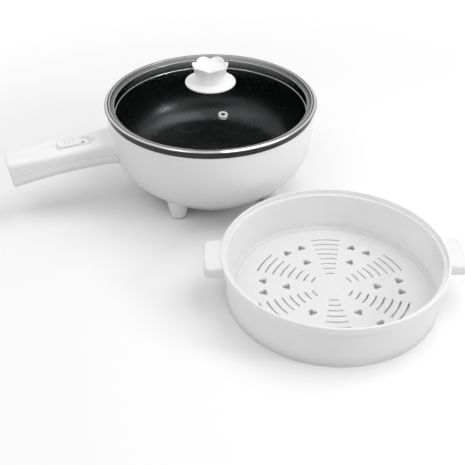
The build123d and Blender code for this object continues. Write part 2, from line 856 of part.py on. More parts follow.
# Thermostat against the middle of the plate, its strap, and the thermal fuse in its clip
thermostat_base_z = plate_base_z - thermostat_height
tab_z = thermostat_base_z + thermostat_height / 3
with BuildPart() as thermostat:
    with Locations((0, 0, thermostat_base_z)):
        Cylinder(thermostat_r, thermostat_height, align=(Align.CENTER, Align.CENTER, Align.MIN))
    with Locations((0, 0, tab_z)):
        Box(2 * tab_reach, tab_width, strap_thickness)
thermostat.part.label = "thermostat"
export_step(thermostat.part, "parts/thermostat.step")

thermostat_strap = strap((0, 0), thermostat_r + fit_gap, thermostat_height, strap_reach)
thermostat_strap.label = "thermostat_strap"
export_step(thermostat_strap, "parts/thermostat_strap.step")

fuse_z = plate_base_z - fuse_r
with BuildPart() as thermal_fuse:
    with BuildSketch(Plane.YZ.offset(fuse_place[0])):
        with Locations((fuse_place[1], fuse_z)):
            Circle(fuse_r)
    extrude(amount=fuse_length / 2, both=True)
    with BuildSketch(Plane.YZ.offset(fuse_place[0])):
        with Locations((fuse_place[1], fuse_z)):
            Circle(fuse_lead_r)
    extrude(amount=fuse_lead_reach, both=True)
thermal_fuse.part.label = "thermal_fuse"
export_step(thermal_fuse.part, "parts/thermal_fuse.step")

fuse_clip = strap(fuse_place, fuse_r + fit_gap, 2 * fuse_r, clip_reach)
fuse_clip.label = "fuse_clip"
export_step(fuse_clip, "parts/fuse_clip.step")

with BuildPart() as strap_screws:
    for x, y in plate_screw_places:
        with Locations((x, y, 0)):
            add(screw(plate_base_z - strap_thickness, plate_base_z + plate_screw_depth))
strap_screws.part.label = "strap_screws"
export_step(strap_screws.part, "parts/strap_screws.step")


def wire(*points):
    """Round wire through the points, bent as gently as its runs allow."""
    corners = [Vector(*point) for point in points]
    radii = []
    for before, corner, after in zip(corners, corners[1:], corners[2:]):
        half_turn = math.radians((corner - before).get_angle(after - corner) / 2)
        run = min((corner - before).length, (after - corner).length)
        radii.append(min(wire_bend, 0.45 * run / math.tan(half_turn)))
    with BuildPart() as shape:
        with BuildLine() as path:
            FilletPolyline(*corners, radius=radii)
        with BuildSketch(Plane(origin=path.line @ 0, z_dir=path.line % 0)):
            Circle(wire_r)
        sweep()
    return shape.part


# Wires from the inlet through the handle, down between bowl and pan, to the heating parts
blade_tails = [Vector(x, y, blade_tail + wire_end_gap) for x, y in blade_places]
live_tail, neutral_tail, earth_tail = [inlet_plane.from_local_coords(end) for end in blade_tails]
off_blade = inlet_plane.z_dir * 5
pin_z = element_z - element_pin_length + 2
lead_x = fuse_place[0] - fuse_lead_reach - wire_end_gap
tab_side = tab_width / 2 + wire_end_gap
post_pass = screw_head_r + boss_wall + wire_r + 6 * fit_gap
wire_turn_x = -front_screw + 2 * wire_r


def into_bowl(side):
    """Points of a wire's way through the cable window and down to the plate's edge."""
    return [
        (-pan_mouth_r - 3, 5 * side, cable_window_z),
        (-pan_mouth_r + 3.8, 5 * side, 60),
        (-pan_mouth_r + 14.4, 5 * side, 45),
        (-pan_mouth_r + 25, 5 * side, 33),
        (-plate_r - 10, 8 * side, 29.4),
    ]


neutral_points = [
    neutral_tail,
    neutral_tail + off_blade,
    (-blade_end + 10.3, 12.8, 70.8),
    (wire_turn_x, 12.6, 71),
    *into_bowl(1),
    (-68, pin_y, pin_z),
    (pin_x - element_pin_r - wire_end_gap, pin_y, pin_z),
]
earth_points = [
    earth_tail,
    earth_tail + off_blade * 0.4,
    (-(back_screw + blade_end) / 2, 9.2, 74),
    (wire_turn_x, 9.2, 72),
    *into_bowl(0),
    (-78, 0, plate_base_z - wire_r - wire_end_gap),
    (-64, 0, plate_base_z - wire_r - wire_end_gap),
]
terminals = [switch_plane.from_local_coords((x, 0, terminal_z)) for x in terminal_xs]
live_end = terminals[0].X - terminal_size[0] / 2 - wire_end_gap
switched_end = terminals[1].X + terminal_size[0] / 2 + wire_end_gap
live_points = [
    live_tail,
    live_tail + off_blade,
    (-back_screw, -post_pass, 71),
    (-switch_back, -post_pass, 71),
    (live_end - 3, 0, terminals[0].Z),
    (live_end, 0, terminals[0].Z),
]
switched_points = [
    (switched_end, 0, terminals[1].Z),
    (switched_end + 3, 0, terminals[1].Z),
    (-switch_front, -post_pass, 72),
    (wire_turn_x, -post_pass, 71),
    *into_bowl(-1),
    (-62, -19, 28.4),
    (-47, fuse_place[1], 28.6),
    (-42, fuse_place[1], fuse_z),
    (lead_x, fuse_place[1], fuse_z),
]
jumper_points = (
    [
        (fuse_place[0] + fuse_lead_reach + wire_end_gap, fuse_place[1], fuse_z),
        (-13, fuse_place[1], fuse_z),
        (-13, -14, tab_z),
        (-13, -tab_side, tab_z),
    ],
    [
        (13, tab_side, tab_z),
        (13, 23, tab_z),
        (-25, 23, tab_z),
        (-42, -8, pin_z),
        (-49, -pin_y, pin_z),
        (pin_x + element_pin_r + wire_end_gap, -pin_y, pin_z),
    ],
)
wires = {
    "wire_neutral": [neutral_points],
    "wire_earth": [earth_points],
    "wire_live": [live_points],
    "wire_switched": [switched_points],
    "wire_jumpers": jumper_points,
}
for name, runs in wires.items():
    with BuildPart() as wire_set:
        for points in runs:
            add(wire(*points))
    wire_set.part.label = name
    export_step(wire_set.part, f"parts/{name}.step")

# Lid rim: rolled steel sheet with an outer bead, a leg over the glass and a lip into the pan
flange_z = pan_rim_z + lid_sheet
lip_outer_r = pan_mouth_r - lid_lip_gap
lip_end_z = pan_rim_z - lid_lip_depth + lid_lip_bead
bead_r = lid_r - lid_bead_r
bead_z = pan_rim_z + lid_bead_lift + lid_bead_r
with BuildPart() as lid_rim:
    with BuildSketch(Plane.XZ):
        with Locations((bead_r, bead_z)):
            Circle(lid_bead_r)
        with Locations((lip_outer_r - lid_lip_bead, lip_end_z)):
            Circle(lid_lip_bead)
        with BuildLine():
            Polyline(
                (lip_outer_r, pan_rim_z),
                (lip_outer_r, lip_end_z),
                (lip_outer_r - lid_sheet, lip_end_z),
                (lip_outer_r - lid_sheet, flange_z),
                (glass_edge_r, flange_z),
                (bead_r, bead_z),
                (bead_r, bead_z - lid_sheet),
                (lid_step_r, pan_rim_z),
                close=True,
            )
        make_face()
        with BuildLine():
            Polyline(
                (bead_r + lid_bead_r / 2, bead_z + lid_bead_r * 0.86),
                (lid_channel_r, lid_channel_z),
                (lid_inner_r, lid_inner_z),
                (lid_inner_r, lid_inner_z - lid_sheet),
                (lid_channel_r - 0.1, lid_channel_z - lid_sheet),
                (bead_r - 0.2, bead_z),
                close=True,
            )
        make_face()
    revolve(axis=Axis.Z)
lid_rim.part.label = "lid_rim"
export_step(lid_rim.part, "parts/lid_rim.step")

glass_base_z = flange_z + lid_gasket
lid_gasket_ring = turned([
    (glass_inner_r, flange_z),
    (glass_edge_r, flange_z),
    (glass_edge_r, glass_base_z),
    (glass_inner_r, glass_base_z),
])
lid_gasket_ring.label = "lid_gasket"
export_step(lid_gasket_ring, "parts/lid_gasket.step")


def sphere_r(reach, rise):
    """Radius of the sphere whose cap has this radius and rise."""
    return (reach * reach + rise * rise) / (2 * rise)


# Glass: a shallow dome with a flat edge, a hole for the knob screw and one for the vent
outer_sphere_r = sphere_r(glass_flange_r, glass_top_z - glass_flange_z)
inner_top_z = glass_top_z - glass_thickness
inner_sphere_r = sphere_r(glass_inner_r, inner_top_z - glass_base_z)
vent_tilt = math.asin(vent_reach / outer_sphere_r)
vent_z = glass_top_z - outer_sphere_r + math.sqrt(outer_sphere_r**2 - vent_reach**2)
vent_way = Vector(1, 0, 0).rotate(Axis.Z, vent_angle)
vent_plane = Plane(
    origin=vent_way * vent_reach + Vector(0, 0, vent_z),
    z_dir=vent_way * math.sin(vent_tilt) + Vector(0, 0, math.cos(vent_tilt)),
)
with BuildPart() as lid_glass:
    with BuildSketch(Plane.XZ) as glass_side:
        with BuildLine():
            RadiusArc((0, glass_top_z), (glass_flange_r, glass_flange_z), outer_sphere_r)
            Polyline(
                (glass_flange_r, glass_flange_z),
                (glass_flange_r + 0.4, glass_edge_z),
                (glass_edge_r, glass_edge_z),
                (glass_edge_r, glass_base_z),
                (glass_inner_r, glass_base_z),
            )
            RadiusArc((glass_inner_r, glass_base_z), (0, inner_top_z), -inner_sphere_r)
            Line((0, inner_top_z), (0, glass_top_z))
        make_face()
    revolve(axis=Axis.Z)
    with Locations((0, 0, glass_top_z)):
        Cylinder(glass_hole_r, 4 * glass_thickness, mode=Mode.SUBTRACT)
    with BuildSketch(vent_plane.offset(-2 * glass_thickness)):
        Circle(vent_tube_r + 0.1)
    extrude(amount=4 * glass_thickness, mode=Mode.SUBTRACT)
lid_glass.part.label = "lid_glass"
export_step(lid_glass.part, "parts/lid_glass.step")

# Vent eyelet: a tube through the glass, flanged over it and under it
with BuildPart() as vent_eyelet:
    with BuildSketch(vent_plane):
        Circle(vent_flange_r)
    extrude(amount=vent_plate)
    fillet(vent_eyelet.edges().filter_by(GeomType.CIRCLE).sort_by(Axis.Z)[-1], 0.4)
    with BuildSketch(vent_plane.offset(-vent_under - vent_plate)):
        Circle(vent_tube_r)
    extrude(amount=vent_under + vent_plate + 0.2)
    with BuildSketch(vent_plane.offset(-vent_under - vent_plate)):
        Circle(vent_tube_r + 1.8)
    extrude(amount=vent_plate)
    with BuildSketch(vent_plane.offset(-2 * glass_thickness)):
        Circle(vent_bore_r)
    extrude(amount=4 * glass_thickness, mode=Mode.SUBTRACT)
vent_eyelet.part.label = "vent_eyelet"
export_step(vent_eyelet.part, "parts/vent_eyelet.step")

# Collar under the knob, standing on the glass with a ring
with BuildPart() as knob_skirt:
    with BuildSketch(Plane.XZ) as skirt_side:
        with BuildLine():
            Polyline(
                (knob_screw_r + screw_hole_gap, skirt_seat_z + 1),
                (skirt_seat_r - 2, skirt_seat_z + 1),
                (skirt_seat_r - 2, skirt_seat_z),
                (skirt_seat_r + 2, skirt_seat_z),
                (skirt_seat_r + 2, skirt_z),
                (skirt_r, skirt_z),
                (skirt_r, skirt_z + skirt_edge),
                (knob_base_r + 0.5, skirt_top_z),
                (knob_screw_r + screw_hole_gap, skirt_top_z),
                close=True,
            )
        make_face()
        fillet(skirt_side.vertices().sort_by(Axis.X)[-2:], 0.8)
    revolve(axis=Axis.Z)
knob_skirt.part.label = "knob_skirt"
export_step(knob_skirt.part, "parts/knob_skirt.step")

petal_angle = knob_first_angle + 180 / knob_petals


def lobed(z, corner_r, petal_r):
    """Flat outline at a height, of equal arcs that meet in corners."""
    turn = 360 / knob_petals
    corners = [Vector(corner_r, 0).rotate(Axis.Z, knob_first_angle + turn * k) for k in range(knob_petals)]
    middles = [Vector(petal_r, 0).rotate(Axis.Z, petal_angle + turn * k) for k in range(knob_petals)]
    with BuildSketch(Plane.XY.offset(z)) as outline:
        with BuildLine():
            for k in range(knob_petals):
                ThreePointArc(corners[k - 1], middles[k - 1], corners[k])
        make_face()
    return outline.sketch


# What the crown is cut down by over one petal, leaving an arched edge
arch_z = knob_petal_z - crown_arch_r
with BuildPart() as over_petal:
    with BuildSketch(Plane.XY.offset(arch_z)):
        reach = 2 * knob_top_petal_r
        side_y = reach * math.tan(math.radians(180 / knob_petals))
        Polygon((0, 0), (reach, -side_y), (reach, side_y), align=None)
    extrude(amount=2 * crown_arch_r)
    with BuildSketch(Plane.YZ):
        with Locations((0, arch_z)):
            Circle(crown_arch_r)
    extrude(amount=reach, mode=Mode.SUBTRACT)

# Knob: flares from a round foot to six petals, with arched edges and a dish inside them
with BuildPart() as knob:
    loft(sections=[
        lobed(skirt_top_z, knob_base_r, knob_base_r),
        lobed(knob_petal_z + 1, knob_top_corner_r, knob_top_petal_r),
    ])
    with PolarLocations(0, knob_petals, petal_angle):
        add(over_petal.part, mode=Mode.SUBTRACT)
    dish = [
        lobed(knob_dish_z, knob_dish_r, knob_dish_r),
        lobed(knob_petal_z + 1, knob_top_corner_r - knob_lip, knob_top_petal_r - knob_lip),
    ]
    loft(sections=dish, mode=Mode.SUBTRACT)
    with Locations((0, 0, skirt_top_z)):
        Cylinder(
            knob_screw_r + screw_hole_gap,
            knob_bore_depth,
            align=(Align.CENTER, Align.CENTER, Align.MIN),
            mode=Mode.SUBTRACT,
        )
knob.part.label = "knob"
export_step(knob.part, "parts/knob.step")

# Washer and screw that hold the knob from under the glass
washer_top_z = inner_top_z - 0.2
washer_base_z = washer_top_z - washer_thickness
with BuildPart() as knob_washer:
    with BuildSketch(Plane.XY.offset(washer_base_z)):
        Circle(washer_r)
        Circle(knob_screw_r + screw_hole_gap, mode=Mode.SUBTRACT)
    extrude(amount=washer_thickness)
knob_washer.part.label = "knob_washer"
export_step(knob_washer.part, "parts/knob_washer.step")

head_low_z = washer_base_z - knob_screw_head[1]
knob_screw = turned([
    (0, head_low_z),
    (knob_screw_head[0] - 1.2, head_low_z),
    (knob_screw_head[0], head_low_z + 1.2),
    (knob_screw_head[0], washer_base_z),
    (knob_screw_r, washer_base_z),
    (knob_screw_r, skirt_top_z + knob_bore_depth - 0.6),
    (0, skirt_top_z + knob_bore_depth - 0.6),
])
knob_screw.label = "knob_screw"
export_step(knob_screw, "parts/knob_screw.step")

# Steamer basket, modelled about its own axis and then set beside the pot
band_base_z = basket_rim_z - basket_band
floor_base_z = basket_floor_z - basket_wall
inner_foot_r = basket_foot_r - basket_wall
ear_base_z = ear_top_z - ear_height


def wall_inner_r(z):
    """Radius of the basket's inner wall at a height, between floor and ledge."""
    along = (z - basket_floor_z) / (basket_ledge_z - basket_floor_z)
    return inner_foot_r + along * (basket_ledge_r - inner_foot_r)


with BuildPart() as ears:
    with BuildSketch(Plane.XY.offset(ear_base_z)) as ear_plan:
        Circle(ear_reach)
        Rectangle(2 * ear_reach, ear_width, mode=Mode.INTERSECT)
        fillet(ear_plan.vertices(), ear_round)
    extrude(amount=ear_height)
    fillet(ears.faces().sort_by(Axis.Z)[-1].edges(), ear_edge_round)
    fillet(ears.faces().sort_by(Axis.Z)[0].edges(), ear_wall / 3)
    with BuildSketch(Plane.XY.offset(ear_base_z - 1)) as ear_hollow:
        Circle(ear_reach - ear_wall)
        Rectangle(2 * ear_reach, ear_width - 2 * ear_wall, mode=Mode.INTERSECT)
        fillet(ear_hollow.vertices(), ear_round - ear_wall)
    extrude(amount=ear_height + 1 - ear_wall, mode=Mode.SUBTRACT)

with BuildPart() as basket:
    add(ears.part)
    Cylinder(basket_rim_r - basket_wall, 3 * basket_rim_z, mode=Mode.SUBTRACT)
    with BuildSketch(Plane.XZ) as basket_side:
        with BuildLine():
            Polyline(
                (0, floor_base_z),
                (inner_foot_r, floor_base_z),
                (inner_foot_r, 0),
                (basket_foot_r, 0),
                (basket_wall_r, band_base_z),
                (basket_rim_r, band_base_z),
                (basket_rim_r, basket_rim_z),
                (basket_mouth_r, basket_rim_z),
                (basket_mouth_r, basket_ledge_z),
                (basket_ledge_r, basket_ledge_z),
                (inner_foot_r, basket_floor_z),
                (0, basket_floor_z),
                close=True,
            )
        make_face()
        corners = basket_side.vertices()
        fillet(corners.sort_by_distance((basket_rim_r, basket_rim_z))[0], 1.0)
        fillet(corners.sort_by_distance((basket_foot_r, 0))[0], 1.6)
        fillet(corners.sort_by_distance((inner_foot_r, basket_floor_z))[0], basket_foot_round)
    revolve(axis=Axis.Z)
    with BuildSketch(Plane.XY.offset(basket_floor_z - basket_groove_depth)):
        Circle(basket_groove_r + 0.8)
        Circle(basket_groove_r - 0.8, mode=Mode.SUBTRACT)
    extrude(amount=2, mode=Mode.SUBTRACT)
    with BuildSketch(Plane.XY.offset(floor_base_z - 1)):
        for sector in range(slot_sectors):
            slot_angle = slot_first_angle + sector * 360 / slot_sectors
            for row in range(slot_rows):
                row_r = slot_first_r + row * slot_pitch
                row_arc = CenterArc(
                    (0, 0), row_r, slot_angle - slot_half_angle, 2 * slot_half_angle, mode=Mode.PRIVATE
                )
                SlotArc(row_arc, slot_width)
            for row_r, offsets in petal_rows:
                for offset_angle in offsets:
                    hole_angle = slot_angle - 180 / slot_sectors + offset_angle
                    with PolarLocations(row_r, 1, hole_angle):
                        with PolarLocations(petal_lobe_reach, 3):
                            Circle(petal_lobe_r)
    extrude(amount=basket_wall + 2, mode=Mode.SUBTRACT)

steamer_heading = math.radians(steamer_angle)
with BuildPart() as steamer_basket:
    with Locations((
        steamer_distance * math.cos(steamer_heading),
        steamer_distance * math.sin(steamer_heading),
        0,
    )):
        add(basket.part, rotation=(0, 0, steamer_turn))
steamer_basket.part.label = "steamer_basket"
export_step(steamer_basket.part, "parts/steamer_basket.step")
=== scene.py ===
"""Electric frying pot with a glass lid and its steamer basket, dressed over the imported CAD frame.

Lengths in the sub-assembly classes are millimetres, as on a drawing. Meshes, finishes and the
studio are in metres. The pot's axis is Z, the table is at height 0, and the handle points along -X.
"""

from __future__ import annotations

import json
import logging
import math
from collections.abc import Mapping, Sequence
from dataclasses import dataclass, field
from enum import Enum
from typing import Any

import bmesh
import bpy
import numpy as np
from mathutils import Euler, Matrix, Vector

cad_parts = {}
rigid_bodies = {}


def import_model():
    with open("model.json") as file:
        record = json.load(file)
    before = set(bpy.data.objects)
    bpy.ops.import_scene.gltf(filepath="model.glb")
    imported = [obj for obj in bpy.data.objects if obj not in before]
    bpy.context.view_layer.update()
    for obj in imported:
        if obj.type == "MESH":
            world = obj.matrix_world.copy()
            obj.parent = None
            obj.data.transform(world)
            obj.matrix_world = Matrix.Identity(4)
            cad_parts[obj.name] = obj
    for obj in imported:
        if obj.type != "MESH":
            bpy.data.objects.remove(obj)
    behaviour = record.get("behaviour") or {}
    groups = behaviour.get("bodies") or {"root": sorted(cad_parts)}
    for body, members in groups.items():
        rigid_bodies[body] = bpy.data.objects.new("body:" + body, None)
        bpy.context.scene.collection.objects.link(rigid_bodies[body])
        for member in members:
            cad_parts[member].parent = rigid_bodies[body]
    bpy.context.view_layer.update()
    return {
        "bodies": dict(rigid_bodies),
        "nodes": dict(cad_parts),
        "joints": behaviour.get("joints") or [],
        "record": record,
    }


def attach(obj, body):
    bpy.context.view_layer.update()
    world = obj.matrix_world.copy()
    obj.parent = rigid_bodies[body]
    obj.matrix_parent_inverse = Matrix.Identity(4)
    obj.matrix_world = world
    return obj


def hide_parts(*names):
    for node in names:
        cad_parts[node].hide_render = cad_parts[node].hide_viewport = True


LOG = logging.getLogger("frying_pot")
Array = np.ndarray
Colour = tuple[float, float, float]
Skin = tuple[Array, list[tuple[int, ...]]]

MM = 0.001
SEGMENTS = 192
PURE_WHITE = (1.0, 1.0, 1.0, 1.0)
# Metres within which vertices are one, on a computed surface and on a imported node
SURFACE_WELD = 1e-7
NODE_WELD = 1e-6
# Degrees within which triangles are joined into one flat face
FLAT_DEGREES = 0.02
# Cosine between normals above which faces lie in one plane, and below which a border is an edge
SAME_PLANE = 0.9999995
BORDER_BEND = 0.9998


class Body(Enum):
    """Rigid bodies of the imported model."""

    POT = "pot"
    LID = "lid"
    STEAMER = "steamer"
    SWITCH = "switch"


class Slot(Enum):
    """Material slots of the record, by name."""

    SHELL = "white_shell"
    CAP = "white_cap"
    KNOB = "knob_white"
    BASKET = "basket_white"
    BLACK = "black_moulding"
    BLADE = "blade_metal"
    PAD = "pad_rubber"
    SCREW = "screw_steel"
    COATING = "nonstick_black"
    RIM = "lid_steel"
    GLASS = "lid_glass"


class Socket:
    """Output socket of a shader node that takes part in Python arithmetic."""

    def __init__(self, graph: Graph, output: bpy.types.NodeSocket | None) -> None:
        """Wrap one output.

        Args:
            graph: The graph that new nodes go into.
            output: The socket itself, or none on an output node.
        """
        self.graph = graph
        self.output = output

    def _math(self, operation: str, *values: Socket | float) -> Socket:
        """Add a Math node over the given values."""
        return self.graph.node("ShaderNodeMath", {"operation": operation}, dict(enumerate(values)))

    def __add__(self, other: Socket | float) -> Socket:
        """Sum."""
        return self._math("ADD", self, other)

    __radd__ = __add__

    def __sub__(self, other: Socket | float) -> Socket:
        """Difference."""
        return self._math("SUBTRACT", self, other)

    def __rsub__(self, other: float) -> Socket:
        """Difference from a number."""
        return self._math("SUBTRACT", other, self)

    def __mul__(self, other: Socket | float) -> Socket:
        """Product."""
        return self._math("MULTIPLY", self, other)

    __rmul__ = __mul__

    def __truediv__(self, other: Socket | float) -> Socket:
        """Quotient."""
        return self._math("DIVIDE", self, other)

    def __rtruediv__(self, other: float) -> Socket:
        """Quotient of a number and this."""
        return self._math("DIVIDE", other, self)

    def __pow__(self, other: Socket | float) -> Socket:
        """Power."""
        return self._math("POWER", self, other)

    def __rpow__(self, other: float) -> Socket:
        """Number to the power of this."""
        return self._math("POWER", other, self)

    def over(self, low: float, high: float) -> Socket:
        """Smooth ramp from 0 at low to 1 at high, clamped.

        Args:
            low: Value that gives 0.
            high: Value that gives 1.

        Returns:
            The ramped value.
        """
        return self.graph.node(
            "ShaderNodeMapRange",
            {"interpolation_type": "SMOOTHSTEP"},
            {0: self, 1: low, 2: high},
        )


class Graph:
    """Node tree of one material or world, filled through one node-making method."""

    def __init__(self, name: str, world: bool = False) -> None:
        """Start an empty material or world.

        Args:
            name: Its name.
            world: Whether it is a world.
        """
        self.owner = (bpy.data.worlds if world else bpy.data.materials).new(name)
        self.owner.use_nodes = True
        self.tree = self.owner.node_tree
        self.tree.nodes.clear()
        self.end = "ShaderNodeOutputWorld" if world else "ShaderNodeOutputMaterial"

    def node(
        self,
        kind: str,
        settings: Mapping[str, Any] | None = None,
        inputs: Mapping[int | str, Any] | None = None,
        output: int | str = 0,
    ) -> Socket:
        """Add a node.

        Args:
            kind: The node's type name.
            settings: Its own settings, set before its sockets.
            inputs: Values or sockets by input name or place.
            output: Which output to give back.

        Returns:
            The chosen output.
        """
        made = self.tree.nodes.new(kind)
        for key, value in (settings or {}).items():
            if key == "stops":
                self._set_stops(made.color_ramp, value)
            else:
                setattr(made, key, value)
        for key, value in (inputs or {}).items():
            if isinstance(value, Socket):
                self.tree.links.new(value.output, made.inputs[key])
            else:
                made.inputs[key].default_value = value
        return Socket(self, made.outputs[output] if made.outputs else None)

    @staticmethod
    def _set_stops(ramp: bpy.types.ColorRamp, stops: Sequence[tuple[float, float]]) -> None:
        """Give a ramp grey stops.

        Args:
            ramp: The ramp.
            stops: Place and grey of each stop.
        """
        while len(ramp.elements) < len(stops):
            ramp.elements.new(1.0)
        for element, (place, grey) in zip(ramp.elements, stops):
            element.position = place
            element.color = (grey, grey, grey, 1.0)

    def place(self) -> Socket:
        """Position on the piece, in metres."""
        return self.node("ShaderNodeTexCoord", output="Object")

    def split(self, at: Socket) -> list[Socket]:
        """The three coordinates of a position."""
        return [self.node("ShaderNodeSeparateXYZ", {}, {0: at}, output=axis) for axis in range(3)]

    def reach(self, at: Socket, centre: tuple[float, float] = (0.0, 0.0)) -> Socket:
        """Distance from an upright axis.

        Args:
            at: Position.
            centre: Where the axis stands.

        Returns:
            The distance, in metres.
        """
        east, north = (part - middle for part, middle in zip(self.split(at), centre))
        return (east * east + north * north) ** 0.5

    def noise(self, at: Socket, scale: float, detail: float = 2.0) -> Socket:
        """Noise between 0 and 1.

        Args:
            at: Position.
            scale: Waves per metre.
            detail: Octaves.

        Returns:
            The noise value.
        """
        return self.node("ShaderNodeTexNoise", {}, {"Vector": at, "Scale": scale, "Detail": detail})

    def bump(self, height: Socket, distance: float) -> Socket:
        """Normal bent by a height.

        Args:
            height: Height between 0 and 1.
            distance: Its size in metres.

        Returns:
            The normal.
        """
        relief = {"Height": height, "Distance": distance, "Strength": 1.0}
        return self.node("ShaderNodeBump", {}, relief)

    def mix(
        self,
        factor: Socket | float,
        first: Socket | Sequence[float],
        second: Socket | Sequence[float],
        blend: str = "MIX",
    ) -> Socket:
        """Mix two colours.

        Args:
            factor: 0 for the first alone, 1 for the whole effect of the second.
            first: First colour or its socket.
            second: Second colour or its socket.
            blend: How they mix.

        Returns:
            The mixed colour.
        """
        # A Mix node's colours are its inputs 6 and 7, and the mixed colour is its output 2.
        settings = {"data_type": "RGBA", "blend_type": blend}
        return self.node("ShaderNodeMix", settings, {0: factor, 6: first, 7: second}, output=2)

    def tint(self, factor: Socket, dark: Sequence[float], light: Sequence[float]) -> Socket:
        """Colour between a dark one at factor 0 and a light one at factor 1."""
        return self.mix(factor, (*dark, 1.0), (*light, 1.0))

    def seen_directly(self) -> Socket:
        """Tell camera, glossy and transmission rays from the light that bounces.

        Returns:
            1 for these rays and 0 for the others.
        """
        camera, glossy, through = (
            self.node("ShaderNodeLightPath", output=f"Is {kind} Ray")
            for kind in ("Camera", "Glossy", "Transmission")
        )
        return camera + glossy + through

    def close(self, surface: Socket) -> bpy.types.Material | bpy.types.World:
        """Link the surface to the tree's output.

        Args:
            surface: The shader.

        Returns:
            The finished material or world.
        """
        self.node(self.end, {}, {"Surface": surface})
        return self.owner


@dataclass(frozen=True)
class Moulding:
    """Moulded plastic or rubber, faintly mottled and finely grained.

    Mottle is the share by which the colour varies, grain the grain's height, and glow the share of
    light that comes through a wall.
    """

    name: str
    colour: Colour
    roughness: float = 0.3
    mottle: float = 0.02
    grain: float = 0.000006
    grain_scale: float = 2600.0
    glow: float = 0.0
    cloud_scale: float = 38.0
    cloud_gloss: float = 0.10
    grain_gloss: float = 0.06
    index: float = 1.49

    def build(self) -> bpy.types.Material:
        """Make the material.

        Returns:
            The material.
        """
        graph = Graph(self.name)
        at = graph.place()
        cloud = graph.noise(at, self.cloud_scale, detail=3.0)
        grain = graph.noise(at, self.grain_scale, detail=1.0)
        dark = tuple(c * (1.0 - self.mottle) for c in self.colour)
        light = tuple(min(1.0, c * (1.0 + self.mottle)) for c in self.colour)
        gloss = (cloud - 0.5) * self.cloud_gloss + (grain - 0.5) * self.grain_gloss
        surface = graph.node(
            "ShaderNodeBsdfPrincipled",
            {},
            {
                "Base Color": graph.tint(cloud, dark, light),
                "Roughness": gloss + self.roughness,
                "Normal": graph.bump(grain, self.grain),
                "IOR": self.index,
            },
        )
        if self.glow:
            inside = graph.node("ShaderNodeBsdfTranslucent", {}, {"Color": (*self.colour, 1.0)})
            surface = graph.node("ShaderNodeMixShader", {}, {0: self.glow, 1: surface, 2: inside})
        return graph.close(surface)


@dataclass(frozen=True)
class Metal:
    """Bare metal with noise streaks that run round the pot's axis or have no direction.

    Each band is a share of the way across the span off the axis, and a factor that darkens the
    metal there: painted reflections and shade.
    """

    name: str
    colour: Colour
    roughness: float
    streak: float = 0.06
    turned: bool = False
    painted_bands: tuple[tuple[float, float], ...] = ()
    band_start: float = 0.0
    band_span: float = 1.0
    streak_scale: float = 1500.0
    turned_scale: float = 900.0
    turned_squeeze: float = 9.0
    patch_scale: float = 60.0
    dark_share: float = 0.94
    grain: float = 0.000002

    def build(self) -> bpy.types.Material:
        """Make the material.

        Returns:
            The material.
        """
        graph = Graph(self.name)
        place = at = graph.place()
        if self.turned:
            out, up = graph.reach(place), graph.split(place)[2]
            squeezed = {0: out * self.turned_squeeze, 1: up * self.turned_squeeze}
            at = graph.node("ShaderNodeCombineXYZ", {}, squeezed)
        scale = self.turned_scale if self.turned else self.streak_scale
        streaks = graph.noise(at, scale, detail=3.0)
        patches = graph.noise(at, self.patch_scale)
        gloss = (streaks - 0.5) * self.streak * 2.0 + (patches - 0.5) * self.streak
        dark = tuple(c * self.dark_share for c in self.colour)
        colour = graph.tint(streaks, dark, self.colour)
        # Painted reflections and shade: rings of the colour darkened by distance from the axis
        if self.painted_bands:
            across = (graph.reach(place) - self.band_start) / self.band_span
            shade = graph.node("ShaderNodeValToRGB", {"stops": self.painted_bands}, {0: across})
            colour = graph.mix(1.0, colour, shade, "MULTIPLY")
        surface = graph.node(
            "ShaderNodeBsdfPrincipled",
            {},
            {
                "Base Color": colour,
                "Metallic": 1.0,
                "Roughness": gloss + self.roughness,
                "Normal": graph.bump(streaks, self.grain),
            },
        )
        return graph.close(surface)


@dataclass(frozen=True)
class Coating:
    """Black non-stick coating: sprayed on, faintly cloudy, with a satin sheen."""

    name: str
    colour: Colour = (0.005, 0.005, 0.005)
    roughness: float = 0.27
    sheen: float = 0.5
    cloud_scale: float = 45.0
    cloud_light: float = 1.25
    cloud_gloss: float = 0.04
    grain: float = 0.000004

    def build(self) -> bpy.types.Material:
        """Make the material.

        Returns:
            The material.
        """
        graph = Graph(self.name)
        cloud = graph.noise(graph.place(), self.cloud_scale)
        light = tuple(c * self.cloud_light for c in self.colour)
        surface = graph.node(
            "ShaderNodeBsdfPrincipled",
            {},
            {
                "Base Color": graph.tint(cloud, self.colour, light),
                "Roughness": (cloud - 0.5) * self.cloud_gloss + self.roughness,
                "Normal": graph.bump(cloud, self.grain),
                "Specular IOR Level": self.sheen,
            },
        )
        return graph.close(surface)


@dataclass(frozen=True)
class ClearGlass:
    """Clear lid glass: what is behind it, tinted a little, under a reflection.

    The reflection grows over the span of Fresnel values, up to the mirror's share.
    """

    name: str
    tint: Colour = (0.94, 0.96, 0.96)
    index: float = 1.5
    mirror: float = 0.5
    mirror_span: tuple[float, float] = (0.12, 0.7)
    film_scale: float = 70.0
    film_roughness: float = 0.02

    def build(self) -> bpy.types.Material:
        """Make the material.

        Returns:
            The material.
        """
        graph = Graph(self.name)
        film = graph.noise(graph.place(), self.film_scale, detail=3.0)
        rough = (film - 0.5) * self.film_roughness + self.film_roughness
        through = graph.node("ShaderNodeBsdfTransparent", {}, {"Color": (*self.tint, 1.0)})
        shine = graph.node("ShaderNodeBsdfGlossy", {}, {"Color": PURE_WHITE, "Roughness": rough})
        mirror = graph.node("ShaderNodeFresnel", {}, {"IOR": self.index})
        outside = 1.0 - graph.node("ShaderNodeNewGeometry", output="Backfacing")
        factor = mirror.over(*self.mirror_span) * outside * self.mirror
        surface = graph.node("ShaderNodeMixShader", {}, {0: factor, 1: through, 2: shine})
        return graph.close(surface)


Finish = Moulding | Metal | Coating | ClearGlass


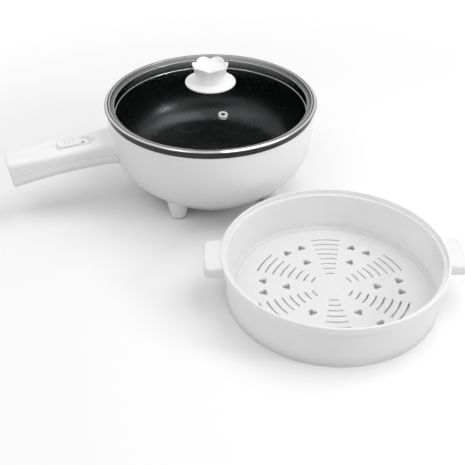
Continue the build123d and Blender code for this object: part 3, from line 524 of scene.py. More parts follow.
def arc_corner(before: Array, corner: Array, after: Array, radius: float, steps: int = 6) -> Array:
    """Round one corner of a profile with a circular arc.

    The arc touches both legs at the same distance from the corner, radius over the tangent of half
    the corner's inner angle.

    Args:
        before: Point before the corner.
        corner: The corner.
        after: Point after it.
        radius: Radius of the arc.
        steps: Pieces of the arc.

    Returns:
        The arc's points, one row each.
    """
    leg_in = (before - corner) / np.linalg.norm(before - corner)
    leg_out = (after - corner) / np.linalg.norm(after - corner)
    half = 0.5 * math.acos(float(np.clip(leg_in @ leg_out, -1.0, 1.0)))
    middle = leg_in + leg_out
    centre = corner + middle / np.linalg.norm(middle) * radius / math.sin(half)
    start = corner + leg_in * radius / math.tan(half) - centre
    end = corner + leg_out * radius / math.tan(half) - centre
    sweep = math.acos(float(np.clip(start @ end / radius**2, -1.0, 1.0)))
    turn = np.linspace(0.0, 1.0, steps + 1)[:, None]
    blend = np.sin((1.0 - turn) * sweep) * start + np.sin(turn * sweep) * end
    return centre + blend / math.sin(sweep)


def rounded(points: Sequence[tuple[float, ...]]) -> Array:
    """Turn corners into a profile; a third number on a corner is its radius.

    Args:
        points: Radius and height of each corner, with a rounding where it has one.

    Returns:
        The profile, one row per point.
    """
    flat = np.array([point[:2] for point in points], float)
    rows: list[Array] = []
    for place, point in enumerate(points):
        if len(point) == 3:
            rows.append(arc_corner(flat[place - 1], flat[place], flat[place + 1], point[2]))
        else:
            rows.append(flat[place : place + 1])
    return np.vstack(rows)


def bezier(controls: Sequence[tuple[float, float]], steps: int = 40) -> Array:
    """Cubic Bezier curve: the four controls weighted by the cubic Bernstein terms.

    Args:
        controls: Four control points.
        steps: Pieces of the curve.

    Returns:
        The curve's points.
    """
    t = np.linspace(0.0, 1.0, steps + 1)[:, None]
    a, b, c, d = np.array(controls, float)
    return (1 - t) ** 3 * a + 3 * (1 - t) ** 2 * t * b + 3 * (1 - t) * t**2 * c + t**3 * d


def grid_faces(rows: int, columns: int, wrap_rows: bool) -> list[tuple[int, ...]]:
    """Quads of a grid whose columns run all the way round.

    Args:
        rows: Number of rows.
        columns: Number of columns.
        wrap_rows: Whether the last row joins the first.

    Returns:
        Vertex numbers of each quad.
    """
    row = np.arange(rows if wrap_rows else rows - 1)[:, None]
    column = np.arange(columns)[None, :]
    after = (row + 1) % rows
    beside = (column + 1) % columns
    quads = np.stack(
        np.broadcast_arrays(
            row * columns + column,
            row * columns + beside,
            after * columns + beside,
            after * columns + column,
        ),
        axis=-1,
    )
    return [tuple(quad) for quad in quads.reshape(-1, 4).tolist()]


def shell(rings: Array, closed: bool) -> Skin:
    """Skin over rings of points; an open stack of rings gets a pole at each end.

    Args:
        rings: Points by ring, place in the ring, and coordinate.
        closed: Whether the last ring joins the first.

    Returns:
        Vertices and faces.
    """
    count, columns, _ = rings.shape
    vertices = rings.reshape(-1, 3)
    faces = grid_faces(count, columns, closed)
    if not closed:
        poles = np.array([rings[0].mean(axis=0), rings[-1].mean(axis=0)])
        vertices = np.vstack([vertices, poles])
        first, last = count * columns, count * columns + 1
        ring = np.arange(columns)
        beside = (ring + 1) % columns
        low = np.stack([beside, ring, np.full(columns, first)], axis=1)
        base = (count - 1) * columns
        high = np.stack([base + ring, base + beside, np.full(columns, last)], axis=1)
        faces += [tuple(face) for face in np.vstack([low, high]).tolist()]
    return vertices, faces


def turned(profile: Array, closed: bool, segments: int = SEGMENTS) -> Skin:
    """Surface of revolution: each profile point runs round Z at its radius and height.

    Args:
        profile: Radius and height of each point.
        closed: Whether the profile is a closed loop off the axis.
        segments: Steps round the axis.

    Returns:
        Vertices and faces.
    """
    angle = np.linspace(0.0, 2.0 * np.pi, segments, endpoint=False)
    radius = profile[:, :1]
    height = np.broadcast_to(profile[:, 1:2], (len(profile), segments))
    rings = np.stack([radius * np.cos(angle), radius * np.sin(angle), height], axis=-1)
    return shell(rings, closed)


@dataclass
class Workshop:
    """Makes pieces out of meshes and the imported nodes, and keeps the finishes."""

    frame: dict[str, Any]
    made: dict[str, bpy.types.Material] = field(default_factory=dict)

    def material(self, finish: Finish) -> bpy.types.Material:
        """Material of a finish, made once.

        Args:
            finish: The finish.

        Returns:
            Its material.
        """
        if finish.name not in self.made:
            self.made[finish.name] = finish.build()
        return self.made[finish.name]

    def piece(
        self,
        name: str,
        skin: Skin,
        body: Body,
        finish: Finish,
        replaces: Sequence[str] = (),
        sharp_degrees: float = 40.0,
    ) -> bpy.types.Object:
        """Put a computed surface into the scene.

        Args:
            name: The piece's name.
            skin: Vertices in millimetres, and faces.
            body: Body that it rides on.
            finish: Its finish.
            replaces: Nodes that it stands for.
            sharp_degrees: Edges that turn more stay sharp.

        Returns:
            The piece.
        """
        vertices, faces = skin
        mesh = bpy.data.meshes.new(name)
        mesh.from_pydata((np.asarray(vertices) * MM).tolist(), [], faces)
        self._outward(mesh)
        return self._place(name, mesh, body, finish, replaces, sharp_degrees)

    @staticmethod
    def _outward(mesh: bpy.types.Mesh) -> None:
        """Merge a closed mesh's doubles and turn its faces outwards.

        Args:
            mesh: The mesh.
        """
        work = bmesh.new()
        work.from_mesh(mesh)
        bmesh.ops.remove_doubles(work, verts=work.verts, dist=SURFACE_WELD)
        bmesh.ops.recalc_face_normals(work, faces=work.faces)
        work.to_mesh(mesh)
        work.free()

    def _place(
        self,
        name: str,
        mesh: bpy.types.Mesh,
        body: Body,
        finish: Finish,
        replaces: Sequence[str],
        sharp_degrees: float,
    ) -> bpy.types.Object:
        """Shade a mesh, give it its finish and let it ride on its body.

        Args:
            name: The piece's name.
            mesh: Its mesh, in metres.
            body: Body that it rides on.
            finish: Its finish.
            replaces: Nodes that it stands for.
            sharp_degrees: Edges that turn more stay sharp.

        Returns:
            The piece.
        """
        mesh.shade_smooth()
        mesh.set_sharp_from_angle(angle=math.radians(sharp_degrees))
        mesh.materials.clear()
        mesh.materials.append(self.material(finish))
        made = bpy.data.objects.new(name, mesh)
        bpy.context.scene.collection.objects.link(made)
        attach(made, body.value)
        if replaces:
            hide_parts(*replaces)
        LOG.info("piece %s on %s, %d faces", name, body.value, len(mesh.polygons))
        return made

    def smooth_copy(
        self,
        node: str,
        body: Body,
        finish: Finish,
        sharp_degrees: float = 32.0,
        join_flat: bool = False,
    ) -> bpy.types.Object:
        """Stand a merged and smoothly shaded copy in for a node.

        Args:
            node: The node.
            body: Its body.
            finish: Its finish.
            sharp_degrees: Edges that turn more stay sharp.
            join_flat: Join coplanar triangles first, so that slivers don't bend the shading.

        Returns:
            The copy.
        """
        mesh = self.frame["nodes"][node].data.copy()
        work = bmesh.new()
        work.from_mesh(mesh)
        bmesh.ops.remove_doubles(work, verts=work.verts, dist=NODE_WELD)
        if join_flat:
            limit = math.radians(FLAT_DEGREES)
            bmesh.ops.dissolve_limit(work, angle_limit=limit, verts=work.verts, edges=work.edges)
        borders = self._flat_borders(work)
        work.to_mesh(mesh)
        work.free()
        made = self._place(f"{node}_skin", mesh, body, finish, [node], sharp_degrees)
        sharp = mesh.attributes["sharp_edge"]
        values = np.zeros(len(mesh.edges), bool)
        sharp.data.foreach_get("value", values)
        values[borders] = True
        sharp.data.foreach_set("value", values)
        return made

    @staticmethod
    def _flat_borders(work: bmesh.types.BMesh, smallest: int = 8) -> list[int]:
        """Edges round flat regions, where a face at another angle meets them.

        They are made sharp, so that flat faces shade flat.

        Args:
            work: The merged mesh.
            smallest: Fewest triangles of a flat region.

        Returns:
            Edge numbers.
        """
        work.faces.ensure_lookup_table()
        work.faces.index_update()
        work.edges.index_update()
        region = np.full(len(work.faces), -1)
        sizes: list[int] = []
        for seed in work.faces:
            if region[seed.index] >= 0:
                continue
            stack, count = [seed], 0
            region[seed.index] = len(sizes)
            while stack:
                face = stack.pop()
                count += len(face.verts) - 2
                for edge in face.edges:
                    for other in edge.link_faces:
                        level = other.normal.dot(seed.normal) > SAME_PLANE
                        if level and region[other.index] < 0:
                            region[other.index] = len(sizes)
                            stack.append(other)
            sizes.append(count)
        flat = np.array(sizes)[region] >= smallest
        borders: list[int] = []
        for edge in work.edges:
            if len(edge.link_faces) != 2:
                continue
            one, two = edge.link_faces
            apart = region[one.index] != region[two.index]
            beside_flat = flat[one.index] or flat[two.index]
            if apart and beside_flat and one.normal.dot(two.normal) < BORDER_BEND:
                borders.append(edge.index)
        return borders

    def dress(self, finish: Finish, *nodes: str) -> None:
        """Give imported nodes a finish.

        Args:
            finish: The finish.
            *nodes: The nodes.
        """
        for name in nodes:
            mesh = self.frame["nodes"][name].data
            mesh.materials.clear()
            mesh.materials.append(self.material(finish))
            LOG.info("node %s dressed in %s", name, finish.name)


SHELL_WHITE = Moulding("gloss white moulding", (0.87, 0.87, 0.875), 0.24, 0.006, 0.000002, 1800.0)
CAP_WHITE = Moulding("satin white moulding", (0.86, 0.86, 0.865), 0.34, 0.008, 0.000004)
KNOB_WHITE = Moulding("white knob moulding", (0.87, 0.87, 0.875), 0.30, 0.006, 0.000003)
BASKET_WHITE = Moulding(
    "white basket moulding", (0.93, 0.93, 0.93), 0.36, 0.006, 0.000004, glow=0.32
)
SOCKET_BLACK = Moulding("black socket moulding", (0.018, 0.018, 0.019), 0.42, 0.15, 0.00001)
PAD_GREY = Moulding("grey foot rubber", (0.16, 0.16, 0.16), 0.72, 0.12, 0.00002, 1400.0)
SEAL_BLACK = Moulding("black silicone", (0.016, 0.016, 0.017), 0.48, 0.1, 0.000008)
GASKET_GREY = Moulding("clear grey silicone", (0.17, 0.17, 0.17), 0.3, 0.04, 0.000002)
NEUTRAL_BLUE = Moulding("blue wire sheath", (0.03, 0.12, 0.45), 0.38, 0.06)
EARTH_GREEN = Moulding("green wire sheath", (0.14, 0.38, 0.06), 0.38, 0.08)
LIVE_BROWN = Moulding("brown wire sheath", (0.16, 0.06, 0.02), 0.38, 0.08)
HEAT_WHITE = Moulding("white heat sheath", (0.72, 0.72, 0.70), 0.5, 0.05)
# Painted reflections and shade on the rim's steel, from 118 mm off the axis to its outer edge:
# share of the way, and the factor that darkens the steel there
RIM_PAINTED_REFLECTIONS = (
    (0.0, 0.6),
    (0.5, 0.7),
    (0.6, 1.0),
    (0.65, 1.0),
    (0.68, 0.12),
    (0.77, 0.12),
    (0.8, 1.0),
    (0.94, 1.0),
    (0.97, 0.1),
)
RIM_STEEL = Metal(
    "rolled lid steel",
    (0.62, 0.61, 0.60),
    0.10,
    0.03,
    turned=True,
    painted_bands=RIM_PAINTED_REFLECTIONS,
    band_start=0.118,
    band_span=0.016,
)
VENT_STEEL = Metal("vent steel", (0.66, 0.65, 0.64), 0.14, 0.03)
BLADE_STEEL = Metal("plated blade", (0.76, 0.75, 0.72), 0.24)
SCREW_STEEL = Metal("screw steel", (0.60, 0.60, 0.60), 0.34)
SHEATH_STEEL = Metal("sheet steel", (0.56, 0.55, 0.54), 0.38)
CAST_METAL = Metal("cast aluminium", (0.66, 0.66, 0.67), 0.5, 0.12)
PAN_BLACK = Coating("black non-stick coating")
LID_GLASS = ClearGlass("clear lid glass")


@dataclass
class Pan:
    """Inner pan: a turned dish with a straight wall and a turned-down rim."""

    mouth: float = 123.0
    wall: float = 2.2
    floor: float = 41.8
    floor_radius: float = 85.0
    knee_radius: float = 106.0
    knee_height: float = 62.0
    wall_height: float = 92.0
    rim_radius: float = 130.8
    rim_height: float = 122.7
    skirt_height: float = 117.4
    collar: float = 6.0
    mouth_round: float = 0.6
    rim_round: float = 1.2
    skirt_round: float = 0.4
    pole_radius: float = 1.0
    floor_rings: int = 24
    knee_share: float = 0.4

    def side(self, depth: float) -> Array:
        """Curve from floor to wall, moved out by a depth, the knee by a share of it.

        Args:
            depth: Distance outside the inner face.

        Returns:
            The curve from the floor up.
        """
        return bezier(
            (
                (self.floor_radius, self.floor - depth),
                (self.knee_radius + self.knee_share * depth, self.floor - depth),
                (self.mouth + depth, self.knee_height - self.knee_share * depth),
                (self.mouth + depth, self.wall_height),
            )
        )

    def build(self, shop: Workshop) -> None:
        """Make the pan.

        Args:
            shop: Where it is made.
        """
        outer = self.mouth + self.wall
        under = self.rim_height - self.wall
        rim = rounded(
            [
                (self.mouth, self.wall_height + self.collar),
                (self.mouth, self.rim_height, self.mouth_round),
                (self.rim_radius, self.rim_height, self.rim_round),
                (self.rim_radius, self.skirt_height, self.skirt_round),
                (self.rim_radius - self.wall, self.skirt_height, self.skirt_round),
                (self.rim_radius - self.wall, under),
                (outer, under),
            ]
        )
        radii = np.linspace(self.pole_radius, self.floor_radius, self.floor_rings, endpoint=False)
        floor = np.stack([radii, np.full(self.floor_rings, self.floor)], axis=1)
        base = floor - (0.0, self.wall)
        inside, outside = self.side(0.0), self.side(self.wall)
        skin = turned(np.vstack([floor, inside, rim, outside[::-1], base[::-1]]), False)
        shop.piece("inner_pan_skin", skin, Body.POT, PAN_BLACK, ["inner_pan"])


@dataclass
class Housing:
    """White moulded parts of the pot: bowl, handle, base, switch and inlet."""

    def build(self, shop: Workshop) -> None:
        """Dress the housing and what is screwed to it.

        Args:
            shop: Where it is made.
        """
        shop.smooth_copy("housing", Body.POT, SHELL_WHITE, join_flat=True)
        shop.smooth_copy("handle_cover", Body.POT, SHELL_WHITE)
        shop.smooth_copy("base_cover", Body.POT, SHELL_WHITE)
        shop.smooth_copy("switch_slider", Body.SWITCH, CAP_WHITE)
        shop.smooth_copy("inlet_socket", Body.POT, SOCKET_BLACK)
        shop.smooth_copy("inlet_blades", Body.POT, BLADE_STEEL)
        shop.smooth_copy("foot_pads", Body.POT, PAD_GREY)
        shop.smooth_copy("base_screws", Body.POT, SCREW_STEEL)
        shop.smooth_copy("handle_screws", Body.POT, SCREW_STEEL)
        shop.dress(SOCKET_BLACK, "switch_body")
        shop.dress(BLADE_STEEL, "switch_terminals")
        shop.dress(SEAL_BLACK, "rim_seal")


@dataclass
class HeatingUnit:
    """Heating parts and wires under the pan, which show only where the pot is opened."""

    def build(self, shop: Workshop) -> None:
        """Dress the inner parts.

        Args:
            shop: Where it is made.
        """
        shop.dress(CAST_METAL, "heating_plate")
        shop.dress(SHEATH_STEEL, "heating_element", "heat_shield", "plate_posts")
        shop.dress(SHEATH_STEEL, "thermostat_strap", "fuse_clip")
        shop.dress(SCREW_STEEL, "post_screws", "strap_screws", "thermal_fuse")
        shop.dress(HEAT_WHITE, "thermostat", "wire_jumpers")
        shop.dress(NEUTRAL_BLUE, "wire_neutral")
        shop.dress(EARTH_GREEN, "wire_earth")
        shop.dress(LIVE_BROWN, "wire_live", "wire_switched")


@dataclass
class Lid:
    """Domed glass lid in a rolled steel rim, with a vent.

    Fields that end in offset are a reach and a rise from the middle of the rim's bead, and those
    that end in turns are the degrees where an arc starts and ends.
    """

    radius: float = 134.0
    bead: float = 0.9
    bead_lift: float = 1.6
    step_radius: float = 130.6
    sheet: float = 0.6
    base: float = 122.7
    lip_radius: float = 122.4
    lip_depth: float = 12.5
    lip_bead: float = 0.8
    lip_rise: float = 1.0
    lip_drop: float = 2.0
    leg: tuple[tuple[float, float], ...] = ((130.2, 127.3), (127.4, 127.1))
    leg_lean: float = 0.1
    leg_foot_offset: tuple[float, float] = (0.45, 0.78)
    leg_inner_offset: tuple[float, float] = (-0.4, 0.3)
    flange_top_offset: tuple[float, float] = (-0.7, -0.15)
    flange_under_offset: tuple[float, float] = (-0.35, -0.85)
    bead_turns: tuple[float, float] = (-115.0, 60.0)
    curl_turns: tuple[float, float] = (-250.0, 0.0)
    leg_rounds: tuple[float, ...] = (1.6, 0.28, 0.25, 0.8)
    flange_rounds: tuple[float, ...] = (0.8, 0.9)
    under_rounds: tuple[float, ...] = (0.3, 0.8)
    glass_top: float = 147.6
    glass_thickness: float = 3.0
    glass_flange: tuple[float, float] = (126.8, 127.3)
    glass_edge: tuple[float, float] = (129.4, 126.4)
    glass_inner: float = 123.5
    glass_lean: float = 0.4
    glass_round: float = 0.5
    gasket: float = 0.6
    glass_gap: float = 0.03
    hole: float = 4.0
    vent_reach: float = 71.2
    vent_angle: float = -93.4
    vent_flange: float = 5.7
    vent_bore: float = 2.5
    vent_tube: float = 3.4
    vent_under: float = 3.5
    vent_plate: float = 0.7
    vent_curl: float = 1.8
    vent_rounds: tuple[float, ...] = (0.3, 0.2, 0.15, 0.38, 0.3)
    vent_segments: int = 64
    bead_points: int = 22
    curl_points: int = 20
    dome_points: int = 72

    @property
    def seat(self) -> float:
        """Height of the glass's underside where it lies on the gasket."""
        return self.base + self.sheet + self.gasket + self.glass_gap

    @staticmethod
    def cap(reach: float, rise: float) -> float:
        """Radius of the sphere whose cap has this reach and rise."""
        return (reach * reach + rise * rise) / (2.0 * rise)

    @staticmethod
    def arc(
        reach: float, height: float, radius: float, turns: Sequence[float], count: int
    ) -> Array:
        """Points at equal angles on a circle in the profile's plane.

        Args:
            reach: The circle's middle, off the axis.
            height: Its height.
            radius: Its radius.
            turns: Degrees where the arc starts and ends.
            count: Number of points.

        Returns:
            The profile.
        """
        angle = np.radians(np.linspace(*turns, count))
        return np.stack([reach + radius * np.cos(angle), height + radius * np.sin(angle)], axis=1)

    def dome(self, inner: bool) -> Array:
        """One face of the glass from the centre hole out, on a sphere through its top and edge.

        Args:
            inner: The face under the glass.

        Returns:
            The profile.
        """
        reach, foot = (self.glass_inner, self.seat) if inner else self.glass_flange
        top = self.glass_top - self.glass_thickness * inner
        sphere = self.cap(reach, top - foot)
        radii = np.linspace(self.hole, reach, self.dome_points)
        return np.stack([radii, top - sphere + np.sqrt(sphere**2 - radii**2)], axis=1)

    def glass(self) -> Array:
        """Outline of the glass: the upper dome, the flat edge and the lower dome.

        Returns:
            The closed profile.
        """
        edge = rounded(
            [
                self.glass_flange,
                (self.glass_flange[0] + self.glass_lean, self.glass_edge[1]),
                (*self.glass_edge, self.glass_round),
                (self.glass_edge[0], self.seat, self.glass_round),
                (self.glass_inner, self.seat),
            ]
        )
        return np.vstack([self.dome(False), edge[1:-1], self.dome(True)[::-1]])

    def rim(self) -> Array:
        """Outline of the rolled rim: outer bead, leg over the glass, flange and curled lip.

        Returns:
            The closed profile.
        """
        middle = (self.radius - self.bead, self.base + self.bead_lift + self.bead)
        leg_foot, leg_inner, flange_top, flange_under = (
            (middle[0] + reach, middle[1] + rise)
            for reach, rise in (
                self.leg_foot_offset,
                self.leg_inner_offset,
                self.flange_top_offset,
                self.flange_under_offset,
            )
        )
        bead = self.arc(*middle, self.bead, self.bead_turns, self.bead_points)
        (out, out_height), (inner, inner_height) = self.leg
        leg = rounded(
            [
                leg_foot,
                (out, out_height, self.leg_rounds[0]),
                (inner, inner_height, self.leg_rounds[1]),
                (inner, inner_height - self.sheet, self.leg_rounds[2]),
                (out - self.leg_lean, out_height - self.sheet, self.leg_rounds[3]),
                leg_inner,
            ]
        )
        lip = self.lip_radius - self.sheet
        curl_height = self.base - self.lip_depth + self.lip_bead
        flange = rounded(
            [
                flange_top,
                (self.glass_edge[0], self.base + self.sheet, self.flange_rounds[0]),
                (lip, self.base + self.sheet, self.flange_rounds[1]),
                (lip, curl_height + self.lip_rise),
            ]
        )
        curl_middle = (self.lip_radius - self.lip_bead, curl_height)
        curl = self.arc(*curl_middle, self.lip_bead, self.curl_turns, self.curl_points)
        under = rounded(
            [
                (self.lip_radius, self.base - self.lip_drop),
                (self.lip_radius, self.base, self.under_rounds[0]),
                (self.step_radius, self.base, self.under_rounds[1]),
                flange_under,
            ]
        )
        return np.vstack([bead, leg[1:], flange, curl, under])

    def vent(self) -> Skin:
        """Eyelet, turned about its own axis and then tipped onto the glass.

        Returns:
            Vertices and faces.
        """
        curl = self.vent_tube + self.vent_curl
        lowest = -self.vent_under - self.vent_plate
        profile = rounded(
            [
                (self.vent_bore, lowest),
                (curl, lowest, self.vent_rounds[0]),
                (curl, -self.vent_under, self.vent_rounds[1]),
                (self.vent_tube, -self.vent_under),
                (self.vent_tube, 0.0),
                (self.vent_flange, 0.0, self.vent_rounds[2]),
                (self.vent_flange, self.vent_plate, self.vent_rounds[3]),
                (self.vent_bore, self.vent_plate, self.vent_rounds[4]),
                (self.vent_bore, lowest),
            ]
        )[:-1]
        vertices, faces = turned(profile, True, self.vent_segments)
        reach, foot = self.glass_flange
        sphere = self.cap(reach, self.glass_top - foot)
        tilt = math.asin(self.vent_reach / sphere)
        height = self.glass_top - sphere + math.sqrt(sphere**2 - self.vent_reach**2)
        tip = np.array(Euler((0.0, tilt, 0.0)).to_matrix())
        spin = np.array(Euler((0.0, 0.0, math.radians(self.vent_angle))).to_matrix())
        vertices = (vertices @ tip.T + np.array([self.vent_reach, 0.0, height])) @ spin.T
        return vertices, faces

    def build(self, shop: Workshop) -> None:
        """Make the lid without its knob.

        Args:
            shop: Where it is made.
        """
        rim, glass, vent = turned(self.rim(), True), turned(self.glass(), True), self.vent()
        shop.piece("lid_rim_skin", rim, Body.LID, RIM_STEEL, ["lid_rim"])
        shop.piece("lid_glass_skin", glass, Body.LID, LID_GLASS, ["lid_glass"])
        shop.piece("vent_eyelet_skin", vent, Body.LID, VENT_STEEL, ["vent_eyelet"])
        shop.dress(GASKET_GREY, "lid_gasket")


@dataclass
class Knob:
    """Six-lobed knob with arched petal edges and a dish, on a collar.

    The dish's rings are a share of its outline and a depth under its floor.
    """

    base: float = 152.6
    base_radius: float = 17.0
    top: float = 176.0
    corner: float = 21.05
    petal: float = 22.64
    petals: int = 6
    first_angle: float = 14.5
    arch_radius: float = 17.3
    arch_top: float = 175.0
    dish_radius: float = 17.4
    dish_floor: float = 169.8
    lip: float = 1.1
    edge: float = 0.35
    per_petal: int = 28
    settling_rounds: int = 12
    rise_rings: int = 9
    edge_rings: int = 5
    sharp_degrees: float = 60.0
    under_shares: tuple[float, ...] = (0.05, 0.5, 0.98)
    dish_rings: tuple[tuple[float, float], ...] = (
        (1.0, 0.0),
        (0.97, 0.12),
        (0.9, 0.16),
        (0.6, 0.16),
        (0.3, 0.16),
        (0.05, 0.16),
    )
    bore: float = 2.5
    seat: tuple[float, float] = (20.0, 24.0)
    seat_height: float = 147.15
    seat_round: float = 0.2
    well_height: float = 148.15
    collar_radius: float = 31.5
    collar_base: float = 149.0
    collar_edge: float = 151.3
    collar_round: float = 0.8
    collar_shoulder: float = 17.5

    def turns(self) -> Array:
        """Angles of the petals' middle lines."""
        half = math.pi / self.petals
        return math.radians(self.first_angle) + half + 2.0 * half * np.arange(self.petals)

    @staticmethod
    def level(outline: Array, height: float, share: float = 1.0) -> Array:
        """Ring at a height, its outline drawn in to a share of its size."""
        return np.hstack([outline * share, np.full((len(outline), 1), height)])

    def quarter_round(self, line: Array, inward: Array, bends: Array) -> Array:
        """Rings that round the crown's edge off by a quarter circle.

        A ring moves in by the edge's radius times one less the bend's cosine, and down by the
        radius times one less its sine.

        Args:
            line: Points on the crown.
            inward: Direction from each point into the crown's thickness.
            bends: Angle of each ring, from 0 beside the edge to a right angle on top.

        Returns:
            The rings.
        """
        return np.stack(
            [
                np.hstack(
                    [
                        line[:, :2] + inward * self.edge * (1 - math.cos(bend)),
                        line[:, 2:] - self.edge * (1 - math.sin(bend)),
                    ]
                )
                for bend in bends
            ]
        )

    def outline(self, corner: float, petal: float) -> Array:
        """Points round an outline of equal arcs, each through two corners and a petal's middle.

        An arc's centre lies on its petal's middle line, where the distances to the middle and to a
        corner are the same.

        Args:
            corner: Radius at the corners.
            petal: Radius at the petals' middles.

        Returns:
            Plane points, starting at the first corner.
        """
        half = math.pi / self.petals
        along, across = corner * math.cos(half), corner * math.sin(half)
        centre = (petal**2 - along**2 - across**2) / (2.0 * (petal - along))
        radius = petal - centre
        limit = math.atan2(across, along - centre)
        sweep = np.linspace(-limit, limit, self.per_petal, endpoint=False)
        local = np.stack([centre + radius * np.cos(sweep), radius * np.sin(sweep)], axis=1)
        turns = self.turns()
        cos, sin = np.cos(turns)[:, None], np.sin(turns)[:, None]
        x, y = local[:, 0], local[:, 1]
        return np.stack([x * cos - y * sin, x * sin + y * cos], axis=-1).reshape(-1, 2)

    def crown(self, low: Array, low_height: float, high: Array) -> Array:
        """Where the straight lines from a lower to an upper outline meet the petals' arches.

        Over a petal the edge's height is the arch's centre plus the root of its radius squared less
        the sideways distance squared; a few rounds of substitution settle it.

        Args:
            low: Lower outline.
            low_height: Its height.
            high: Outline at the knob's top height.

        Returns:
            Points on the crown.
        """
        turns = self.turns()
        side = np.repeat(np.stack([-np.sin(turns), np.cos(turns)], axis=1), self.per_petal, axis=0)
        share = np.ones((len(low), 1))
        for _ in range(self.settling_rounds):
            plane = low + share * (high - low)
            sideways = (plane * side).sum(axis=1, keepdims=True)
            height = self.arch_top - self.arch_radius + np.sqrt(self.arch_radius**2 - sideways**2)
            share = (height - low_height) / (self.top - low_height)
        return np.hstack([low + share * (high - low), height])

    def crown_skin(self) -> Skin:
        """Knob without its collar: rings from the underside up, over the edge and into the dish.

        Returns:
            Vertices and faces.
        """
        foot = self.outline(self.base_radius, self.base_radius)
        dish = self.outline(self.dish_radius, self.dish_radius)
        outer_top = self.outline(self.corner, self.petal)
        inner_top = self.outline(self.corner - self.lip, self.petal - self.lip)
        outer = self.crown(foot, self.base, outer_top)
        inner = self.crown(dish, self.dish_floor, inner_top)
        inward = inner[:, :2] - outer[:, :2]
        inward /= np.linalg.norm(inward, axis=1, keepdims=True)
        rise = np.linspace(0.0, 1.0, self.rise_rings)[:, None, None]
        bends = np.linspace(0.0, np.pi / 2.0, self.edge_rings)
        drop = np.array([0.0, 0.0, self.edge])
        foot_ring = self.level(foot, self.base)
        dish_ring = self.level(dish, self.dish_floor)
        under = [self.level(foot, self.base, share)[None] for share in self.under_shares]
        wall = foot_ring + rise * (outer - drop - foot_ring)
        outer_edge = self.quarter_round(outer, inward, bends[1:])
        inner_edge = self.quarter_round(inner, -inward, bends[::-1])
        descent = inner - drop + rise[1:-1] * (dish_ring - inner + drop)
        floor = [
            self.level(dish, self.dish_floor - sink, share)[None] for share, sink in self.dish_rings
        ]
        rings = np.vstack([*under, wall, outer_edge, inner_edge, descent, *floor])
        return shell(rings, False)

    def collar(self) -> Array:
        """Outline of the collar: the seat on the glass, the skirt round it and its sloping top.

        Returns:
            The closed profile.
        """
        seat_inner, seat_outer = self.seat
        return rounded(
            [
                (self.bore, self.well_height),
                (seat_inner, self.well_height),
                (seat_inner, self.seat_height, self.seat_round),
                (seat_outer, self.seat_height, self.seat_round),
                (seat_outer, self.collar_base),
                (self.collar_radius, self.collar_base, self.collar_round),
                (self.collar_radius, self.collar_edge, self.collar_round),
                (self.collar_shoulder, self.base),
                (self.bore, self.base),
                (self.bore, self.well_height),
            ]
        )[:-1]

    def build(self, shop: Workshop) -> None:
        """Make the knob and its collar.

        Args:
            shop: Where it is made.
        """
        knob, skirt, angle = self.crown_skin(), turned(self.collar(), True), self.sharp_degrees
        shop.piece("knob_skin", knob, Body.LID, KNOB_WHITE, ["knob"], angle)
        shop.piece("knob_skirt_skin", skirt, Body.LID, KNOB_WHITE, ["knob_skirt"])
        shop.dress(SCREW_STEEL, "knob_screw")
        shop.dress(SEAL_BLACK, "knob_washer")


@dataclass
class Basket:
    """Steamer basket beside the pot."""

    def build(self, shop: Workshop) -> None:
        """Dress the basket.

        Args:
            shop: Where it is made.
        """
        shop.smooth_copy("steamer_basket", Body.STEAMER, BASKET_WHITE)


@dataclass
class Lamp:
    """Square area lamp that looks at a point."""

    name: str
    place: tuple[float, float, float]
    size: float
    watts: float
    target: tuple[float, float, float] = (0.0, -0.12, 0.05)

    def build(self) -> None:
        """Add the lamp."""
        data = bpy.data.lights.new(self.name, "AREA")
        data.shape = "SQUARE"
        data.size = self.size
        data.energy = self.watts
        lamp = bpy.data.objects.new(self.name, data)
        lamp.location = self.place
        aim = Vector(self.target) - Vector(self.place)
        lamp.rotation_euler = aim.to_track_quat("-Z", "Y").to_euler()
        bpy.context.scene.collection.objects.link(lamp)


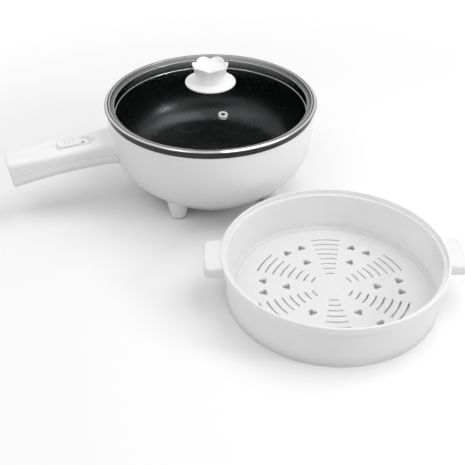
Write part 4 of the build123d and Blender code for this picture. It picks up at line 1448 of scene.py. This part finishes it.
@dataclass
class Studio:
    """White floor, soft lamps and the camera.

    Direct rays see the floor's colour, which fades to white round its centre, and the light that
    bounces sees the lower bounce colour.
    """

    camera_place: tuple[float, float, float] = (-0.2574, -0.9546, 0.6387)
    camera_down: float = 36.15
    camera_heading: float = 16.69
    lens: float = 67.3
    sensor: float = 36.0
    floor_size: float = 6.0
    floor_colour: Colour = (0.93, 0.93, 0.93)
    floor_bounce: Colour = (0.55, 0.55, 0.55)
    floor_roughness: float = 0.3
    floor_index: float = 1.3
    centre: tuple[float, float] = (0.02, -0.12)
    fade: tuple[float, float] = (0.34, 0.75)
    world_strength: float = 0.6
    lamps: tuple[Lamp, ...] = (
        Lamp("key lamp", (0.65, -0.20, 1.51), 1.1, 8.8),
        Lamp("left lamp", (-0.74, -0.23, 1.46), 1.2, 4.2),
        Lamp("front lamp", (1.11, -0.97, 0.78), 0.35, 5.0),
    )

    def floor(self) -> None:
        """White floor that keeps the shadow and a faint reflection."""
        half = self.floor_size / 2.0
        mesh = bpy.data.meshes.new("floor")
        corners = [(-half, -half, 0), (half, -half, 0), (half, half, 0), (-half, half, 0)]
        mesh.from_pydata(corners, [], [(0, 1, 2, 3)])
        graph = Graph("white floor")
        seen = graph.seen_directly()
        colour = graph.tint(seen, self.floor_bounce, self.floor_colour)
        matt = graph.node("ShaderNodeBsdfDiffuse", {}, {"Color": colour})
        gloss = {"Color": PURE_WHITE, "Roughness": self.floor_roughness}
        shine = graph.node("ShaderNodeBsdfGlossy", {}, gloss)
        mirror = graph.node("ShaderNodeFresnel", {}, {"IOR": self.floor_index})
        near = graph.node("ShaderNodeMixShader", {}, {0: mirror, 1: matt, 2: shine})
        glow = graph.node("ShaderNodeEmission", {}, {"Strength": seen})
        far = graph.reach(graph.place(), self.centre).over(*self.fade) * seen
        surface = graph.node("ShaderNodeMixShader", {}, {0: far, 1: near, 2: glow})
        mesh.materials.append(graph.close(surface))
        made = bpy.data.objects.new("floor", mesh)
        bpy.context.scene.collection.objects.link(made)

    def world(self) -> None:
        """Even surroundings, white to direct rays and dimmer as light on the object."""
        graph = Graph("studio", world=True)
        strength = graph.seen_directly() * (1.0 - self.world_strength) + self.world_strength
        sky = {"Color": PURE_WHITE, "Strength": strength}
        bpy.context.scene.world = graph.close(graph.node("ShaderNodeBackground", {}, sky))

    def camera(self) -> None:
        """Camera at the photograph's place, in metres, with its downward angle and heading."""
        data = bpy.data.cameras.new("camera")
        data.sensor_width = self.sensor
        data.lens = self.lens
        camera = bpy.data.objects.new("camera", data)
        camera.location = self.camera_place
        tilt, heading = math.radians(90.0 - self.camera_down), math.radians(self.camera_heading)
        camera.rotation_euler = (tilt, 0.0, -heading)
        bpy.context.scene.collection.objects.link(camera)
        bpy.context.scene.camera = camera

    def build(self) -> None:
        """Set up the studio."""
        self.floor()
        self.world()
        self.camera()
        for lamp in self.lamps:
            lamp.build()
        bpy.context.scene.view_settings.view_transform = "Standard"


def main() -> None:
    """Build the whole scene."""
    logging.basicConfig(level=logging.INFO, format="%(name)s: %(message)s")
    for thing in list(bpy.data.objects):
        bpy.data.objects.remove(thing)
    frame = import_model()
    shop = Workshop(frame)
    for part in (Pan(), Housing(), HeatingUnit(), Lid(), Knob(), Basket()):
        part.build(shop)
        LOG.info("%s done", type(part).__name__)
    Studio().build()
    bpy.context.view_layer.update()


if __name__ == "__main__":
    main()
